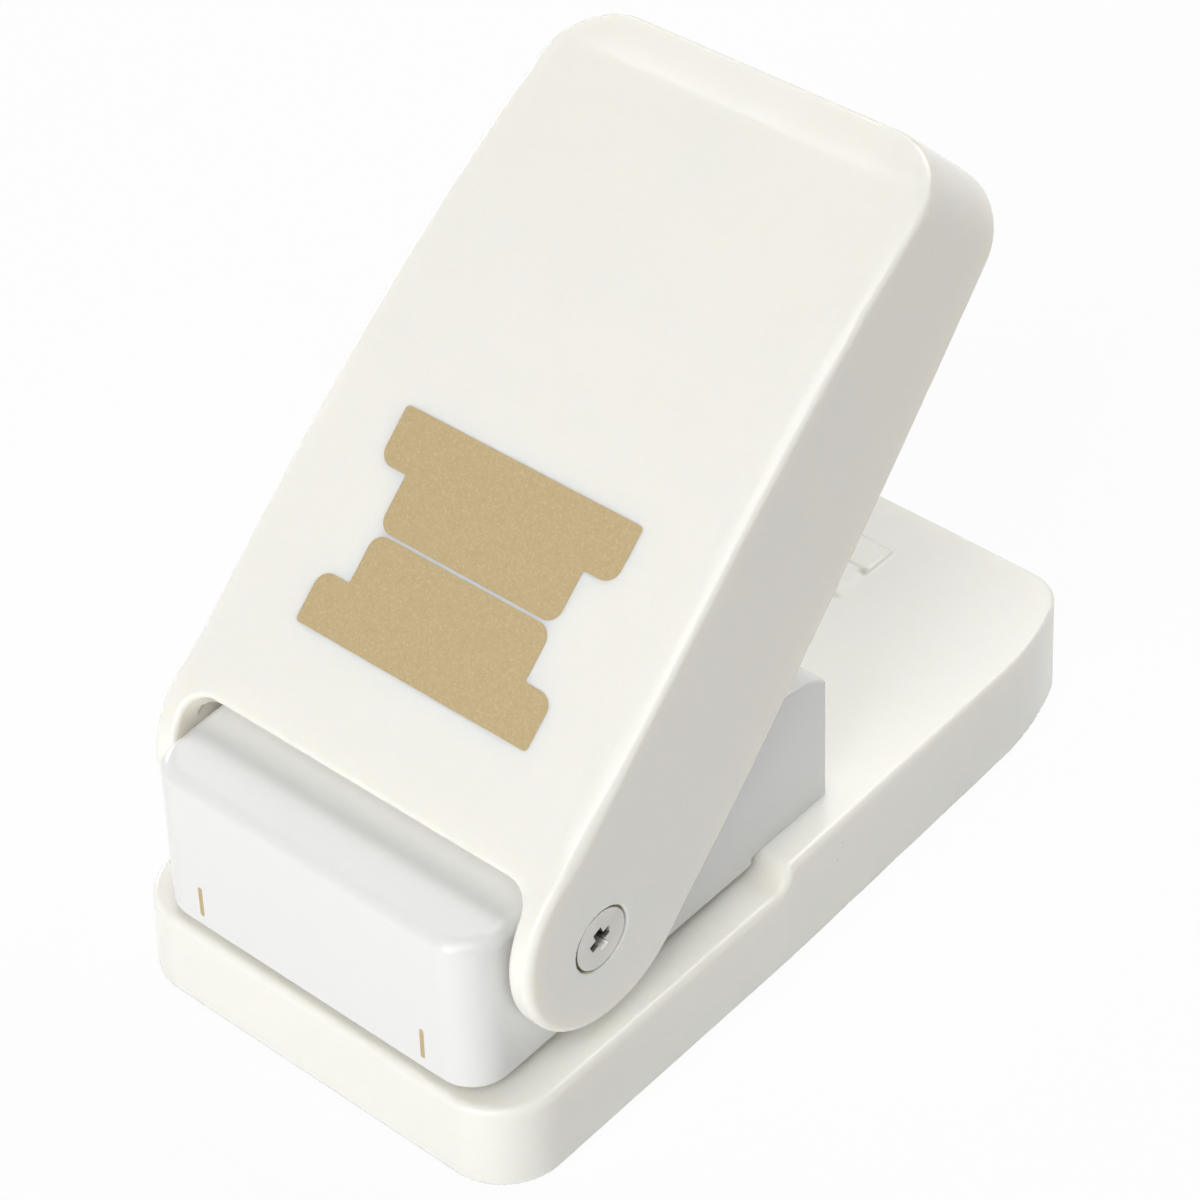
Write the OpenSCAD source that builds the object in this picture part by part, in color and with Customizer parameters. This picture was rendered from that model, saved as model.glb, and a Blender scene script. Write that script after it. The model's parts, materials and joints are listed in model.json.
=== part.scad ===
// Index tab punch: a palm lever drives a tab-shaped punch through a die.
// Millimetres, +Z up, lever's free end towards +Y, paper goes in from -Y.
// The origin is under the middle of the base, on the surface it stands on.

/* [Cut tab] */
// Width of the tab over its two wide ends
tab_w = 35.2; // [28:0.1:42]
// Length of the tab, front to back
tab_d = 28; // [24:0.5:32]
// Front-to-back length of each wide end
tab_end = 7.2; // [5:0.1:9]
// How far the waist steps in on each side
waist_in = 4.3; // [2:0.1:6]
// Corner radius of the tab
tab_r = 1.6; // [0.5:0.1:2.4]
// From the paper stop forward to the tab's rear edge
stop_gap = 8; // [7:0.5:12]

/* [Base] */
// Height of the paper platform above the base's rim
platform_h = 11.4; // [10:0.1:14]
// Rise of the rear deck above the platform
deck_step = 2.6; // [1.8:0.1:3.2]
// Ledge of the base beside the lever
side_ledge = 1.7; // [1:0.1:4]
// Ledge of the base behind the closed lever
rear_ledge = 0.9; // [0.5:0.1:5]
// How much each side draws in towards the rear
rear_draw = 1.7; // [0:0.1:4]
// Radius of the front corners in plan
front_r = 7.6; // [6:0.1:14]
// Radius of the rear corners in plan
rear_r = 11.3; // [6:0.1:16]
// Thickness of the base's side wall
base_wall = 2.4; // [1.6:0.1:3.2]
// Thickness of the base's top skin
base_skin = 2.4; // [1.6:0.1:3]
// Width of the landing pad on the rear deck
pad_w = 8.4; // [6:0.1:14]
// Length of the landing pad's rear half
pad_rear_l = 5.5; // [4:0.1:9]
// Length of the landing pad's narrower front half
pad_front_l = 6; // [4:0.1:9]
// Height of the landing pad's rear half above the deck
pad_h = 0.8; // [0.3:0.1:1.6]
// From the base's rear edge to the landing pad
pad_back = 9; // [6:0.5:12]

/* [Bottom cover] */
// Thickness of the bottom cover
cover_t = 1.6; // [1.4:0.1:2.4]
// How far the cover is set up inside the rim
cover_recess = 0.4; // [0:0.1:0.8]
// Radius of a rubber foot
foot_r = 4.5; // [3:0.1:5]
// How far the feet stand below the rim
foot_proud = 0.5; // [0.3:0.1:1.5]
// Depth of a foot's seat in the cover
foot_seat = 0.6; // [0.3:0.1:0.9]

/* [Plates] */
// Thickness of the die plate
die_t = 2; // [1.5:0.1:2.4]
// Steel left around the tab in the die plate
die_margin = 3.4; // [2.5:0.1:4.2]
// Height of the paper slot
slot_h = 1.3; // [0.8:0.1:1.8]
// Thickness of the punch's guide plate
guide_t = 3; // [2.4:0.1:4]
// Diameter of the guide pins
pin_d = 4; // [3:0.1:4.2]
// From the tab's edge out to the guide pins
pin_out = 5; // [4.7:0.1:7]
// Set-in of the guide pins from the tab's sides
pin_in = 3.6; // [2:0.1:6]

/* [Block] */
// From the tab's wide ends out to the block's side
block_margin = 8.05; // [7.5:0.05:11]
// Set-back of the block from the base's front edge
block_back = 1.1; // [0.5:0.1:1.8]
// Length of the block behind the paper stop
block_tail = 14; // [13:0.5:18]
// Thickness of the block's walls
block_wall = 2.2; // [1.6:0.1:2.6]
// Room between the block's front wall and the spring cups
front_room = 1.2; // [0.3:0.1:3]
// Thickness of the block's roof
block_roof = 2.4; // [1.6:0.1:3]
// Radius of the front corners in plan
block_r = 5.2; // [2.4:0.1:7]
// Radius along the front top edge
brow_r = 1.8; // [0.5:0.1:3]
// Radius of the roof where it falls to the rear
crown_r = 15; // [10:0.5:30]
// Length of the roof that falls to the rear
crown_l = 8.4; // [5:0.1:9]

/* [Lever] */
// Angle of the lever when open
lever_open = 42.5; // [38:0.5:44]
// Angle left when the lever is pressed home
lever_home = 0.5; // [0.2:0.1:2]
// From the base's front edge back to the pivot
pivot_in = 18.7; // [17:0.1:21]
// Block material above the pivot
pivot_cover = 7.63; // [7:0.01:9]
// From the pivot to the lever's free end
lever_reach = 94.4; // [84:0.1:105]
// Clearance between the block and the lever's ears
ear_gap = 0.45; // [0.35:0.05:0.8]
// Thickness of the ears
ear_t = 3.2; // [2.8:0.1:4]
// How far the ears reach ahead of the pivot
ear_ahead = 11.8; // [10:0.1:13]
// Height of the ears above the platform with the lever down
ear_clear = 1.3; // [0.8:0.1:2]
// Thickness of the side walls behind the ears
lever_wall = 2.5; // [1.8:0.1:2.8]
// Thickness of the top plate
plate_t = 3; // [2.4:0.1:3.4]
// Clearance between the top plate and the block with the lever down
plate_gap = 3.27; // [3:0.01:5]
// From the pivot back to the top plate's front edge
plate_front = 2.5; // [2:0.1:3.5]
// Roll-off of the top plate's side edges
edge_drop = 0.7; // [0.3:0.1:1.4]
// Width of that roll-off
edge_roll = 2.8; // [1.5:0.1:5]
// Where the top plate starts to curve down, from the pivot
bend_start = 40; // [36:1:60]
// Radius of the top plate's downward curve
bend_r = 250; // [180:5:500]
// Length of the roll-off at the free end
end_roll = 5.5; // [3:0.1:8]
// Drop of the roll-off at the free end
end_drop = 2; // [1:0.1:3]
// How much each side draws in towards the free end
lever_draw = 2.1; // [0:0.1:4]
// Radius of the free end's corners in plan
end_r = 8.5; // [6:0.1:16]
// Radius of the side walls' rear bottom corners
heel_r = 1.6; // [1:0.1:9]
// Angle that the free end's wall leans out at below
end_lean = 4.3; // [0:0.1:6]
// Bottom edge of the side walls below the pivot, at the free end
tail_drop = 9.1; // [7:0.1:12]

/* [Drive] */
// From the pivot to the press pin
arm = 7; // [6:0.1:8]
// Diameter of the press pin
press_d = 5; // [4:0.1:6]
// Thickness of the press bracket's sheet
sheet_t = 1.4; // [1:0.1:1.6]
// Width between the bracket's cheeks
cheek_gap = 20; // [16:0.5:21]
// Thickness of the punch carrier
carrier_t = 3.04; // [2.4:0.01:4]
// Thickness of the hardened press pad
press_pad_t = 2; // [1.6:0.1:2.4]
// How far the punch enters the die
bite = 1.2; // [0.6:0.1:1.6]
// Outer radius of the return springs
spring_r = 3; // [2.8:0.05:3.4]
// Wire diameter of the return springs
wire_d = 0.7; // [0.5:0.05:0.7]
// Number of turns in a return spring
spring_turns = 7; // [5:1:8]

/* [Pivot] */
// Diameter of the pivot screws' heads
pivot_head_d = 8; // [7:0.1:9]
// Height of the pivot screws' heads
pivot_head_t = 1.5; // [1.2:0.1:1.6]
// Diameter of the pivot screws' shoulders
shoulder_d = 5.2; // [4.4:0.1:5.8]
// Diameter of the pivot screws' threads
pivot_thread_d = 4; // [3:0.1:4.2]
// Outside diameter of the threaded inserts
insert_d = 6; // [5.4:0.1:7]
// Length of the threaded inserts
insert_l = 5.5; // [4.5:0.1:6]

/* [Fasteners] */
// Diameter of the assembly screws
screw_d = 3; // [2.5:0.1:3.2]
// Wall of the bosses around the assembly screws
boss_wall = 1.7; // [1.3:0.1:1.9]

/* [Clearances] */
// Radial clearance of fixed fits
fit = 0.05; // [0.03:0.01:0.1]
// Radial clearance of running fits
run = 0.06; // [0.03:0.01:0.1]
// Gap between parts that must not rub
clear = 0.3; // [0.2:0.05:0.4]

/* [Hidden] */
$fn = 96;
eps = 0.01;
far = 400;

// Widths add up from the tab outwards
block_w = tab_w + 2 * block_margin;
ear_in = block_w / 2 + ear_gap;
lever_w = 2 * (ear_in + ear_t);
base_w = lever_w + 2 * side_ledge;

// Places along the base
base_l = pivot_in + lever_reach + rear_ledge;
front_y = -base_l / 2;
rear_y = base_l / 2;
pivot_y = front_y + pivot_in;
block_y0 = front_y + block_back;
core_x = block_w / 2 - block_wall;
core_y0 = block_y0 + block_wall;
// Spring cups stand in front of and behind the tab, around the guide pins
cup_wall = 1.2;
pocket_r = spring_r + clear;
cup_r = pocket_r + cup_wall;
tab_y0 = core_y0 + front_room + cup_r + pin_out;
tab_y1 = tab_y0 + tab_d;
tab_y = (tab_y0 + tab_y1) / 2;
pin_x = tab_w / 2 - pin_in;
stop_y = tab_y1 + stop_gap;
block_y1 = stop_y + block_tail;
core_y1 = block_y1 - block_wall;

// Heights
rim_z = foot_proud;
cover_z = rim_z + cover_recess;
cover_top = cover_z + cover_t;
platform_z = rim_z + platform_h;
deck_z = platform_z + deck_step;
die_z = platform_z - die_t;
skin_z = die_z - base_skin;
slot_z = platform_z + slot_h;
guide_top = slot_z + guide_t;
travel = lever_open - lever_home;
swing = arm * sin(travel / 2);
press_gap = 0.12;
carrier_gap = 1.2;
// The pivot stands clear of the raised carrier, pad and press pin
pivot_z = guide_top + carrier_gap + carrier_t + press_pad_t + press_gap + press_d / 2 + swing;
block_top = pivot_z + pivot_cover;

// Lever outline, measured from the pivot along and square to the top plate
plate_rise = pivot_cover + plate_gap + plate_t;
plate_under = plate_rise - plate_t;
shoulder_v = plate_rise - edge_drop;
ear_low = -(pivot_z - platform_z - ear_clear);
ear_r = (shoulder_v - ear_low) / 2;
ear_u = ear_r - ear_ahead;
ear_v = (shoulder_v + ear_low) / 2;
ear_zone = ear_u + ear_r;
lip_l = 2;
lip_v = (pivot_cover + clear - plate_front * sin(lever_open)) / cos(lever_open);

// Drive: the press pin swings evenly above and below the pivot's height
pin_angle = travel / 2 - lever_open;
press_u = arm * cos(pin_angle);
press_v = arm * sin(pin_angle);
press_reach = arm * cos(travel / 2);
stroke = 2 * swing;
blade_z = platform_z - bite + stroke;
blade_h = bite + slot_h + guide_t + carrier_gap;
carrier_z = blade_z + blade_h;
carrier_top = carrier_z + carrier_t;
pad_top = carrier_top + press_pad_t;
cheek_x = cheek_gap / 2;
cheek_rim = 1.5;
cheek_r = press_d / 2 + cheek_rim;
cheek_l = 10;
web_v = plate_under - sheet_t;
web_u0 = plate_front + lip_l + clear;
web_u1 = bend_start - clear;
journal_step = 0.7;
journal_r = press_d / 2 - journal_step;
pin_end = 1;
bracket_x = cheek_x - 4;
bracket_u = [web_u0 + cheek_l + 4, web_u1 - 5];

// Springs in cups on the carrier
cup_h = 4.5;
pocket_top = carrier_top + cup_h - cup_wall;
pin_show = 1.6;
guide_pin_top = carrier_top + cup_h + pin_show;
pin_foot = 0.4;

// Screws
screw_r = screw_d / 2;
head_r = screw_d * 0.95;
head_t = screw_d * 0.6;
boss_r = screw_r + boss_wall;
tip_gap = 0.2;
boss_cap = 1.3;
frame_grip = 7;
plate_grip = 5;
cover_grip = 3.4;
punch_grip = 4;
frame_y = core_y1 - boss_r + clear;
frame_x = [for (k = [-1.5, -0.5, 0.5, 1.5]) k * (tab_w / 3)];
plate_x = 5.5;
plate_y = core_y0 + boss_r - clear;
foot_in = base_wall + foot_r + 3.4;
foot_x = base_w / 2 - foot_in;
foot_points = [
    for (sx = [-1, 1]) [sx * foot_x, front_y + foot_in],
    for (sx = [-1, 1]) [sx * (foot_x - rear_draw), rear_y - foot_in]
];
cover_side_x = base_w / 2 - base_wall - boss_r;
cover_rear_x = foot_x - rear_draw - foot_r - head_r - 1;
cover_points = [
    for (sx = [-1, 1]) [sx * cover_side_x, tab_y],
    for (sx = [-1, 1]) [sx * cover_rear_x, rear_y - foot_in]
];

// Label chute through the base
chute_room = 1;
chute_x = tab_w / 2 + chute_room;
chute_y = tab_d / 2 + chute_room;
chute_wall = 1.4;

// A point of the lever's side view, seen with the lever at angle a
function turned(p, a) = [p[0] * cos(a) - p[1] * sin(a), p[0] * sin(a) + p[1] * cos(a)];

// The roof slot clears the bracket's cheeks from open to pressed home
cheek_head = turned([web_u0, plate_under], lever_open);
cheek_foot = turned([press_u - cheek_r, press_v], lever_open);
cheek_cut = (cheek_head[1] - pivot_cover) / (cheek_head[1] - cheek_foot[1]);
slot_room = 0.8;
slot_y0 = pivot_y + cheek_head[0] + cheek_cut * (cheek_foot[0] - cheek_head[0]) - slot_room;
slot_y1 = pivot_y + web_u0 + cheek_l + slot_room;
slot_x = cheek_x + sheet_t + pin_end + slot_room;

// Points on an arc from angle a0 to a1
function arc(c, r, a0, a1, n = 8) =
    [for (i = [0:n]) c + r * [cos(a0 + (a1 - a0) * i / n), sin(a0 + (a1 - a0) * i / n)]];

// Mirror image of an outline's right half, appended in order
function closed_pair(right) =
    concat(right, [for (i = [len(right) - 1:-1:0]) [-right[i][0], right[i][1]]]);

// Base plan: straight sides to the paper stop, then drawn in to the rear
module base_plan(inset = 0) {
    w = base_w / 2 - inset;
    y0 = front_y + inset;
    y1 = rear_y - inset;
    rf = front_r - inset;
    rr = rear_r - inset;
    a = atan(rear_draw / (rear_y - stop_y));
    cy = y1 - rr;
    cx = w - (rr + (cy - stop_y) * sin(a)) / cos(a);
    for (sx = [-1, 1]) {
        translate([sx * (w - rf), y0 + rf]) circle(rf);
        translate([sx * cx, cy]) circle(rr);
    }
    polygon(closed_pair([
        [w - rf, y0], [w, y0 + rf], [w, stop_y],
        [cx + rr * cos(a), cy + rr * sin(a)], [cx, y1]
    ]));
}

// Rectangle with rounded corners, centred
module round_rect(w, d, r) {
    square([w - 2 * r, d], center = true);
    square([w, d - 2 * r], center = true);
    for (sx = [-1, 1]) for (sy = [-1, 1])
        translate([sx * (w / 2 - r), sy * (d / 2 - r)]) circle(r);
}

// Tab outline: two wide rounded ends joined by a narrower waist
module tab_plan(grow = 0) {
    for (sy = [-1, 1]) translate([0, sy * (tab_d - tab_end) / 2])
        round_rect(tab_w + 2 * grow, tab_end + 2 * grow, tab_r + grow);
    square([tab_w - 2 * waist_in + 2 * grow, tab_d - tab_end], center = true);
}

// A box given by its lowest and highest corners
module span(low, high) {
    translate(low) cube(high - low);
}

// Cylinder along X from x0 to x1
module rod_x(r, x0, x1) {
    translate([x0, 0, 0]) rotate([0, 90, 0]) cylinder(r = r, h = x1 - x0);
}

// A side profile in (y, z), extruded across X
module across(half_w) {
    rotate([90, 0, 90]) translate([0, 0, -half_w]) linear_extrude(2 * half_w) children();
}

// Pan head screw standing on its head, thread up
module pan_screw(z_head, z_end) {
    difference() {
        translate([0, 0, z_head - head_t]) cylinder(r = head_r, h = head_t);
        for (a = [0, 90]) rotate(a)
            translate([0, 0, z_head - head_t]) cube([head_r, head_r / 4, head_t], center = true);
    }
    translate([0, 0, z_head]) cylinder(r = screw_r, h = z_end - z_head);
}

// Countersunk screw with its flat head down, thread up
module flat_screw(z_head, z_end) {
    difference() {
        translate([0, 0, z_head]) cylinder(r1 = head_r, r2 = screw_r, h = head_r - screw_r);
        for (a = [0, 90]) rotate(a)
            translate([0, 0, z_head]) cube([head_r, head_r / 4, head_t / 2], center = true);
    }
    translate([0, 0, z_head + head_r - screw_r])
        cylinder(r = screw_r, h = z_end - z_head - head_r + screw_r);
}

// Countersunk seat for a flat screw, cut from below at z
module flat_seat(z, through) {
    translate([0, 0, z - eps]) cylinder(r1 = head_r + fit, r2 = screw_r + fit, h = head_r - screw_r + eps);
    translate([0, 0, z - eps]) cylinder(r = screw_r + fit, h = through);
}

// Places of the guide pins
module at_pins() {
    for (sx = [-1, 1]) for (y = [tab_y0 - pin_out, tab_y1 + pin_out])
        translate([sx * pin_x, y, 0]) children();
}

// Places of the frame screws
module at_frame() {
    for (x = frame_x) translate([x, frame_y, 0]) children();
}

// Places of the guide plate's front screws
module at_plate() {
    for (sx = [-1, 1]) translate([sx * plate_x, plate_y, 0]) children();
}

// Places of the punch screws, in the tab's four wide lobes
module at_punch() {
    for (sx = [-1, 1]) for (sy = [-1, 1])
        translate([sx * (pin_x - 3.4), tab_y + sy * (tab_d - tab_end) / 2, 0]) children();
}

// Both sides of the lever's pivot, first outward along +X
module at_pivots() {
    for (side = [0, 1]) translate([0, pivot_y, pivot_z]) mirror([side, 0, 0]) children();
}

// The lever's own frame: Y along the top plate, Z square to it
module lever_frame() {
    translate([0, pivot_y, pivot_z]) rotate([lever_open, 0, 0]) children();
}

// Base: platform, paper stop, rear deck with its landing pad, hollow below
module base_shell() {
    pocket_x = tab_w / 2 + die_margin + fit;
    pad_y = rear_y - pad_back;
    pad_step = 0.5;
    color("ivory") difference() {
        union() {
            difference() {
                translate([0, 0, rim_z]) linear_extrude(deck_z - rim_z) base_plan();
                span([-far, -far, platform_z], [far, stop_y, far]);
                // The hollow is lower under the plates and higher under the deck
                translate([0, 0, rim_z - 1]) linear_extrude(skin_z - rim_z + 1) base_plan(base_wall);
                intersection() {
                    translate([0, 0, rim_z]) linear_extrude(deck_z - base_skin - rim_z) base_plan(base_wall);
                    span([-far, block_y1, 0], [far, far, far]);
                }
            }
            span([-pad_w / 2, pad_y - pad_rear_l, deck_z - eps], [pad_w / 2, pad_y, deck_z + pad_h]);
            span([pad_step - pad_w / 2, pad_y - pad_rear_l - pad_front_l, deck_z - eps],
                 [pad_w / 2 - pad_step, pad_y - pad_rear_l + eps, deck_z + pad_h - pad_step / 2]);
            // Chute that the cut labels fall through
            span([-chute_x - chute_wall, tab_y - chute_y - chute_wall, cover_top],
                 [chute_x + chute_wall, tab_y + chute_y + chute_wall, skin_z + eps]);
            for (p = cover_points) translate([p[0], p[1], cover_top])
                cylinder(r = boss_r, h = (p[1] > block_y1 ? deck_z - base_skin : skin_z) - cover_top + eps);
        }
        span([-chute_x, tab_y - chute_y, 0], [chute_x, tab_y + chute_y, far]);
        // Seat of the die plate, and of the plates above it under the block's tail
        span([-pocket_x, tab_y0 - die_margin - fit, die_z], [pocket_x, core_y1, far]);
        span([-core_x, stop_y - 1, platform_z], [core_x, core_y1, far]);
        at_frame() cylinder(r = screw_r + fit, h = far);
        for (p = cover_points) translate([p[0], p[1], 0])
            cylinder(r = screw_r + fit, h = cover_top + cover_grip + tip_gap);
    }
}

// Bottom cover with the label window and the seats of the feet
module bottom_cover() {
    color("gainsboro") difference() {
        translate([0, 0, cover_z]) linear_extrude(cover_t) base_plan(base_wall + fit);
        span([-chute_x, tab_y - chute_y, 0], [chute_x, tab_y + chute_y, far]);
        for (p = cover_points) translate([p[0], p[1], 0]) flat_seat(cover_z, far);
        for (p = foot_points) translate([p[0], p[1], 0]) cylinder(r = foot_r + fit, h = cover_z + foot_seat);
    }
}

// Screws that hold the bottom cover
module cover_screws() {
    color("silver") for (p = cover_points) translate([p[0], p[1], 0])
        flat_screw(cover_z, cover_top + cover_grip);
}

// Rubber feet, seated in the cover
module rubber_feet() {
    color("dimgray") for (p = foot_points) translate([p[0], p[1], 0])
        cylinder(r = foot_r, h = cover_z + foot_seat);
}

// Die plate with the tab-shaped cutting hole
module die_plate() {
    half = tab_w / 2 + die_margin;
    color("lightsteelblue") difference() {
        span([-half, tab_y0 - die_margin, die_z], [half, core_y1 - clear, platform_z]);
        translate([0, tab_y, 0]) linear_extrude(far) tab_plan(run);
        at_frame() cylinder(r = screw_r + fit, h = far);
    }
}

// Spacer behind the paper slot that sets its height
module slot_spacer() {
    color("slategray") difference() {
        span([-core_x + clear, stop_y, platform_z], [core_x - clear, core_y1 - clear, slot_z]);
        at_frame() cylinder(r = screw_r + fit, h = far);
    }
}

// Guide plate that strips the paper off the punch
module guide_plate() {
    color("lightsteelblue") difference() {
        span([-core_x + clear, core_y0 + clear, slot_z], [core_x - clear, core_y1 - clear, guide_top]);
        translate([0, tab_y, 0]) linear_extrude(far) tab_plan(run);
        at_frame() cylinder(r = screw_r + fit, h = far);
        at_pins() translate([0, 0, slot_z + pin_foot]) cylinder(r = pin_d / 2 + fit, h = far);
        at_plate() flat_seat(slot_z, far);
    }
}

// Front screws that draw the guide plate up to the block
module plate_screws() {
    color("silver") at_plate() flat_screw(slot_z, guide_top + plate_grip);
}

// Long screws that clamp base, plates and block together
module frame_screws() {
    color("silver") at_frame() pan_screw(skin_z, guide_top + frame_grip);
}

// Guide pins, pressed into the guide plate
module guide_pins() {
    color("lightgray") at_pins() translate([0, 0, slot_z + pin_foot])
        cylinder(r = pin_d / 2, h = guide_pin_top - slot_z - pin_foot);
}

// Outside of the block, seen from the side
module block_profile() {
    crown_a = asin(crown_l / crown_r);
    polygon(concat(
        [[block_y0, slot_z], [stop_y - clear, slot_z], [stop_y - clear, deck_z], [block_y1, deck_z]],
        arc([block_y1 - crown_l, block_top - crown_r], crown_r, 90 - crown_a, 90),
        arc([block_y0 + brow_r, block_top - brow_r], brow_r, 90, 180)
    ));
}

// Block plan: rounded front corners, square rear corners
module block_plan() {
    for (sx = [-1, 1]) translate([sx * (block_w / 2 - block_r), block_y0 + block_r]) circle(block_r);
    polygon(closed_pair([
        [block_w / 2 - block_r, block_y0], [block_w / 2, block_y0 + block_r], [block_w / 2, block_y1]
    ]));
}

// Block over the punch: walls, roof with the lever's slot, bosses
module housing() {
    roof_z = block_top - block_roof;
    pivot_boss_r = insert_d / 2 + boss_wall;
    pivot_boss_x = block_w / 2 - insert_l + tip_gap;
    color("whitesmoke") difference() {
        union() {
            difference() {
                intersection() {
                    across(far) block_profile();
                    linear_extrude(far) block_plan();
                }
                span([-core_x, core_y0, 0], [core_x, core_y1, roof_z]);
            }
            at_frame() translate([0, 0, guide_top]) cylinder(r = boss_r, h = frame_grip + boss_cap);
            at_plate() translate([0, 0, guide_top]) cylinder(r = boss_r, h = plate_grip + boss_cap);
            at_pivots() rod_x(pivot_boss_r, pivot_boss_x, core_x + eps);
        }
        span([-slot_x, slot_y0, roof_z - 1], [slot_x, slot_y1, far]);
        at_frame() cylinder(r = screw_r + fit, h = guide_top + frame_grip + tip_gap);
        at_plate() cylinder(r = screw_r + fit, h = guide_top + plate_grip + tip_gap);
        at_pivots() rod_x(insert_d / 2 + fit, 0, far);
    }
}

// Threaded brass inserts in the block's sides
module pivot_inserts() {
    color("goldenrod") at_pivots() difference() {
        rod_x(insert_d / 2, block_w / 2 - insert_l, block_w / 2);
        rod_x(pivot_thread_d / 2 + fit, 0, far);
    }
}

// Shoulder screws that the lever turns on, with a cross recess
module pivot_screws() {
    head_sunk = 0.15;
    head_x = lever_w / 2 - head_sunk;
    cross = pivot_head_d * 0.42;
    cross_turn = 20;
    color("silver") at_pivots() difference() {
        union() {
            rod_x(pivot_head_d / 2, head_x - pivot_head_t, head_x);
            rod_x(shoulder_d / 2, block_w / 2, head_x - pivot_head_t);
            rod_x(pivot_thread_d / 2, block_w / 2 - insert_l + tip_gap, block_w / 2);
        }
        for (a = [cross_turn, cross_turn + 90]) rotate([a, 0, 0])
            translate([head_x, 0, 0]) cube([pivot_head_t * 1.2, cross, cross / 3.4], center = true);
    }
}

// Thin washers between the block and the lever's ears
module pivot_washers() {
    color("gainsboro") at_pivots() difference() {
        rod_x(shoulder_d / 2 + 2 * ear_gap + 1, block_w / 2, ear_in - run);
        rod_x(shoulder_d / 2 + run, 0, far);
    }
}

// Height of the top plate's surface at a distance u from the pivot
function plate_at(u) = u < bend_start ? plate_rise : plate_rise - pow(u - bend_start, 2) / (2 * bend_r);

// Points along the plate's curve, from u_far back to where it starts, sunk by a depth
function plate_curve(u_far, depth, n = 8) =
    [for (i = [n:-1:0]) let (u = bend_start + (u_far - bend_start) * i / n) [u, plate_at(u) - depth]];

// Half-width of the lever at a distance u from the pivot
function lever_half(u) = lever_w / 2 - lever_draw * pow(max(u, 0) / lever_reach, 2);

// Lever plan: gently drawn-in sides and a rounded free end
module lever_plan(inset = 0) {
    r = end_r - inset;
    u_end = lever_reach - inset;
    u_turn = u_end - r;
    side = [for (i = [0:8]) let (u = u_turn * i / 8) [lever_half(u) - inset, u]];
    polygon(closed_pair(concat(
        [[lever_w / 2 - inset, -2 * ear_r]], side,
        arc([lever_half(u_turn) - inset - r, u_turn], r, 0, 90)
    )));
}

// Height of the free end's top edge
end_v = plate_at(lever_reach - end_roll) - end_drop;

// Lever seen from the side: round ears, curved top, rising bottom edge
module lever_profile() {
    end_top = end_v + end_drop;
    heel_v = heel_r - tail_drop;
    heel_u = lever_reach + (end_v - heel_v) * tan(end_lean) - heel_r / cos(end_lean);
    translate([ear_u, ear_v]) circle(ear_r);
    polygon(concat(
        [[ear_u, ear_low]],
        arc([heel_u, heel_v], heel_r, -90, end_lean),
        [for (a = [0:15:75]) [lever_reach - end_roll * (1 - cos(a)), end_top - end_drop * (1 - sin(a))]],
        plate_curve(lever_reach - end_roll, 0),
        [[plate_front, plate_rise], [plate_front, shoulder_v], [ear_u, shoulder_v]]
    ));
}

// Hollow of the lever, seen from the side
module hollow_profile() {
    polygon(concat(
        [[-far, -far], [far, -far], [far, plate_at(lever_reach) - plate_t]],
        plate_curve(lever_reach, plate_t),
        [[plate_front, plate_under], [plate_front, far], [-far, far]]
    ));
}

// Lever seen from its end: side edges of the top plate roll off
module lever_section() {
    side = lever_w / 2;
    polygon(closed_pair(concat(
        [[side, -far]],
        [for (a = [0:15:90]) [side - edge_roll * (1 - cos(a)), shoulder_v + edge_drop * sin(a)]]
    )));
}

// Hollow of the lever in plan: between the ears, then between the thinner walls
module hollow_plan() {
    reach = 2 * ear_r;
    translate([-ear_in, -reach]) square([2 * ear_in, reach + ear_zone + eps]);
    intersection() {
        lever_plan(lever_wall);
        translate([-far, ear_zone]) square(2 * far);
    }
}

// Stands a plan of the lever up, leaning out below the free end's top edge
module leaning() {
    translate([0, lever_reach, end_v]) rotate([end_lean, 0, 0])
        translate([0, -lever_reach, -far / 2]) linear_extrude(far) children();
}

// Palm lever: top plate, side walls, ears, stop lip, ribs and stop post
module lever_shell() {
    counter_d = pivot_head_t + clear;
    rib_t = 1.8;
    rib_h = 8;
    rib_u = [block_y1 - pivot_y + 4, block_y1 - pivot_y + 18];
    post_l = 4;
    post_w = pad_w - 2;
    skin_left = 0.7;
    // The post lands on the base's pad when the lever is pressed home
    post_u = rear_y - pad_back - pad_rear_l - pivot_y;
    post_v = deck_z + pad_h + clear - pivot_z - post_u * sin(lever_home);
    color("ivory") lever_frame() difference() {
        union() {
            difference() {
                intersection() {
                    leaning() lever_plan();
                    across(far) lever_profile();
                    rotate([90, 0, 0]) translate([0, 0, -far / 2]) linear_extrude(far) lever_section();
                }
                intersection() {
                    across(far) hollow_profile();
                    leaning() hollow_plan();
                }
            }
            // Lip under the plate's front edge: it meets the block's roof when open
            span([-ear_in - eps, plate_front, lip_v], [ear_in + eps, plate_front + lip_l, plate_under + eps]);
            // Cross ribs behind the block
            for (u = rib_u) span(
                [lever_wall / 2 - lever_half(u), u, plate_under - rib_h],
                [lever_half(u) - lever_wall / 2, u + rib_t, plate_at(u + rib_t) - plate_t / 2]);
            // Rib along the middle, and the stop post on it
            span([-rib_t / 2, rib_u[1], plate_under - rib_h],
                 [rib_t / 2, lever_reach - lever_wall / 2, plate_at(lever_reach) - plate_t / 2]);
            span([-post_w / 2, post_u - post_l / 2, post_v],
                 [post_w / 2, post_u + post_l / 2, plate_at(post_u + post_l) - plate_t / 2]);
        }
        for (side = [0, 1]) mirror([side, 0, 0]) {
            rod_x(shoulder_d / 2 + run, 0, far);
            rod_x(pivot_head_d / 2 + clear, lever_w / 2 - counter_d, far);
        }
        at_bracket() cylinder(r = screw_r + fit, h = plate_rise - skin_left);
    }
}

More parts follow.
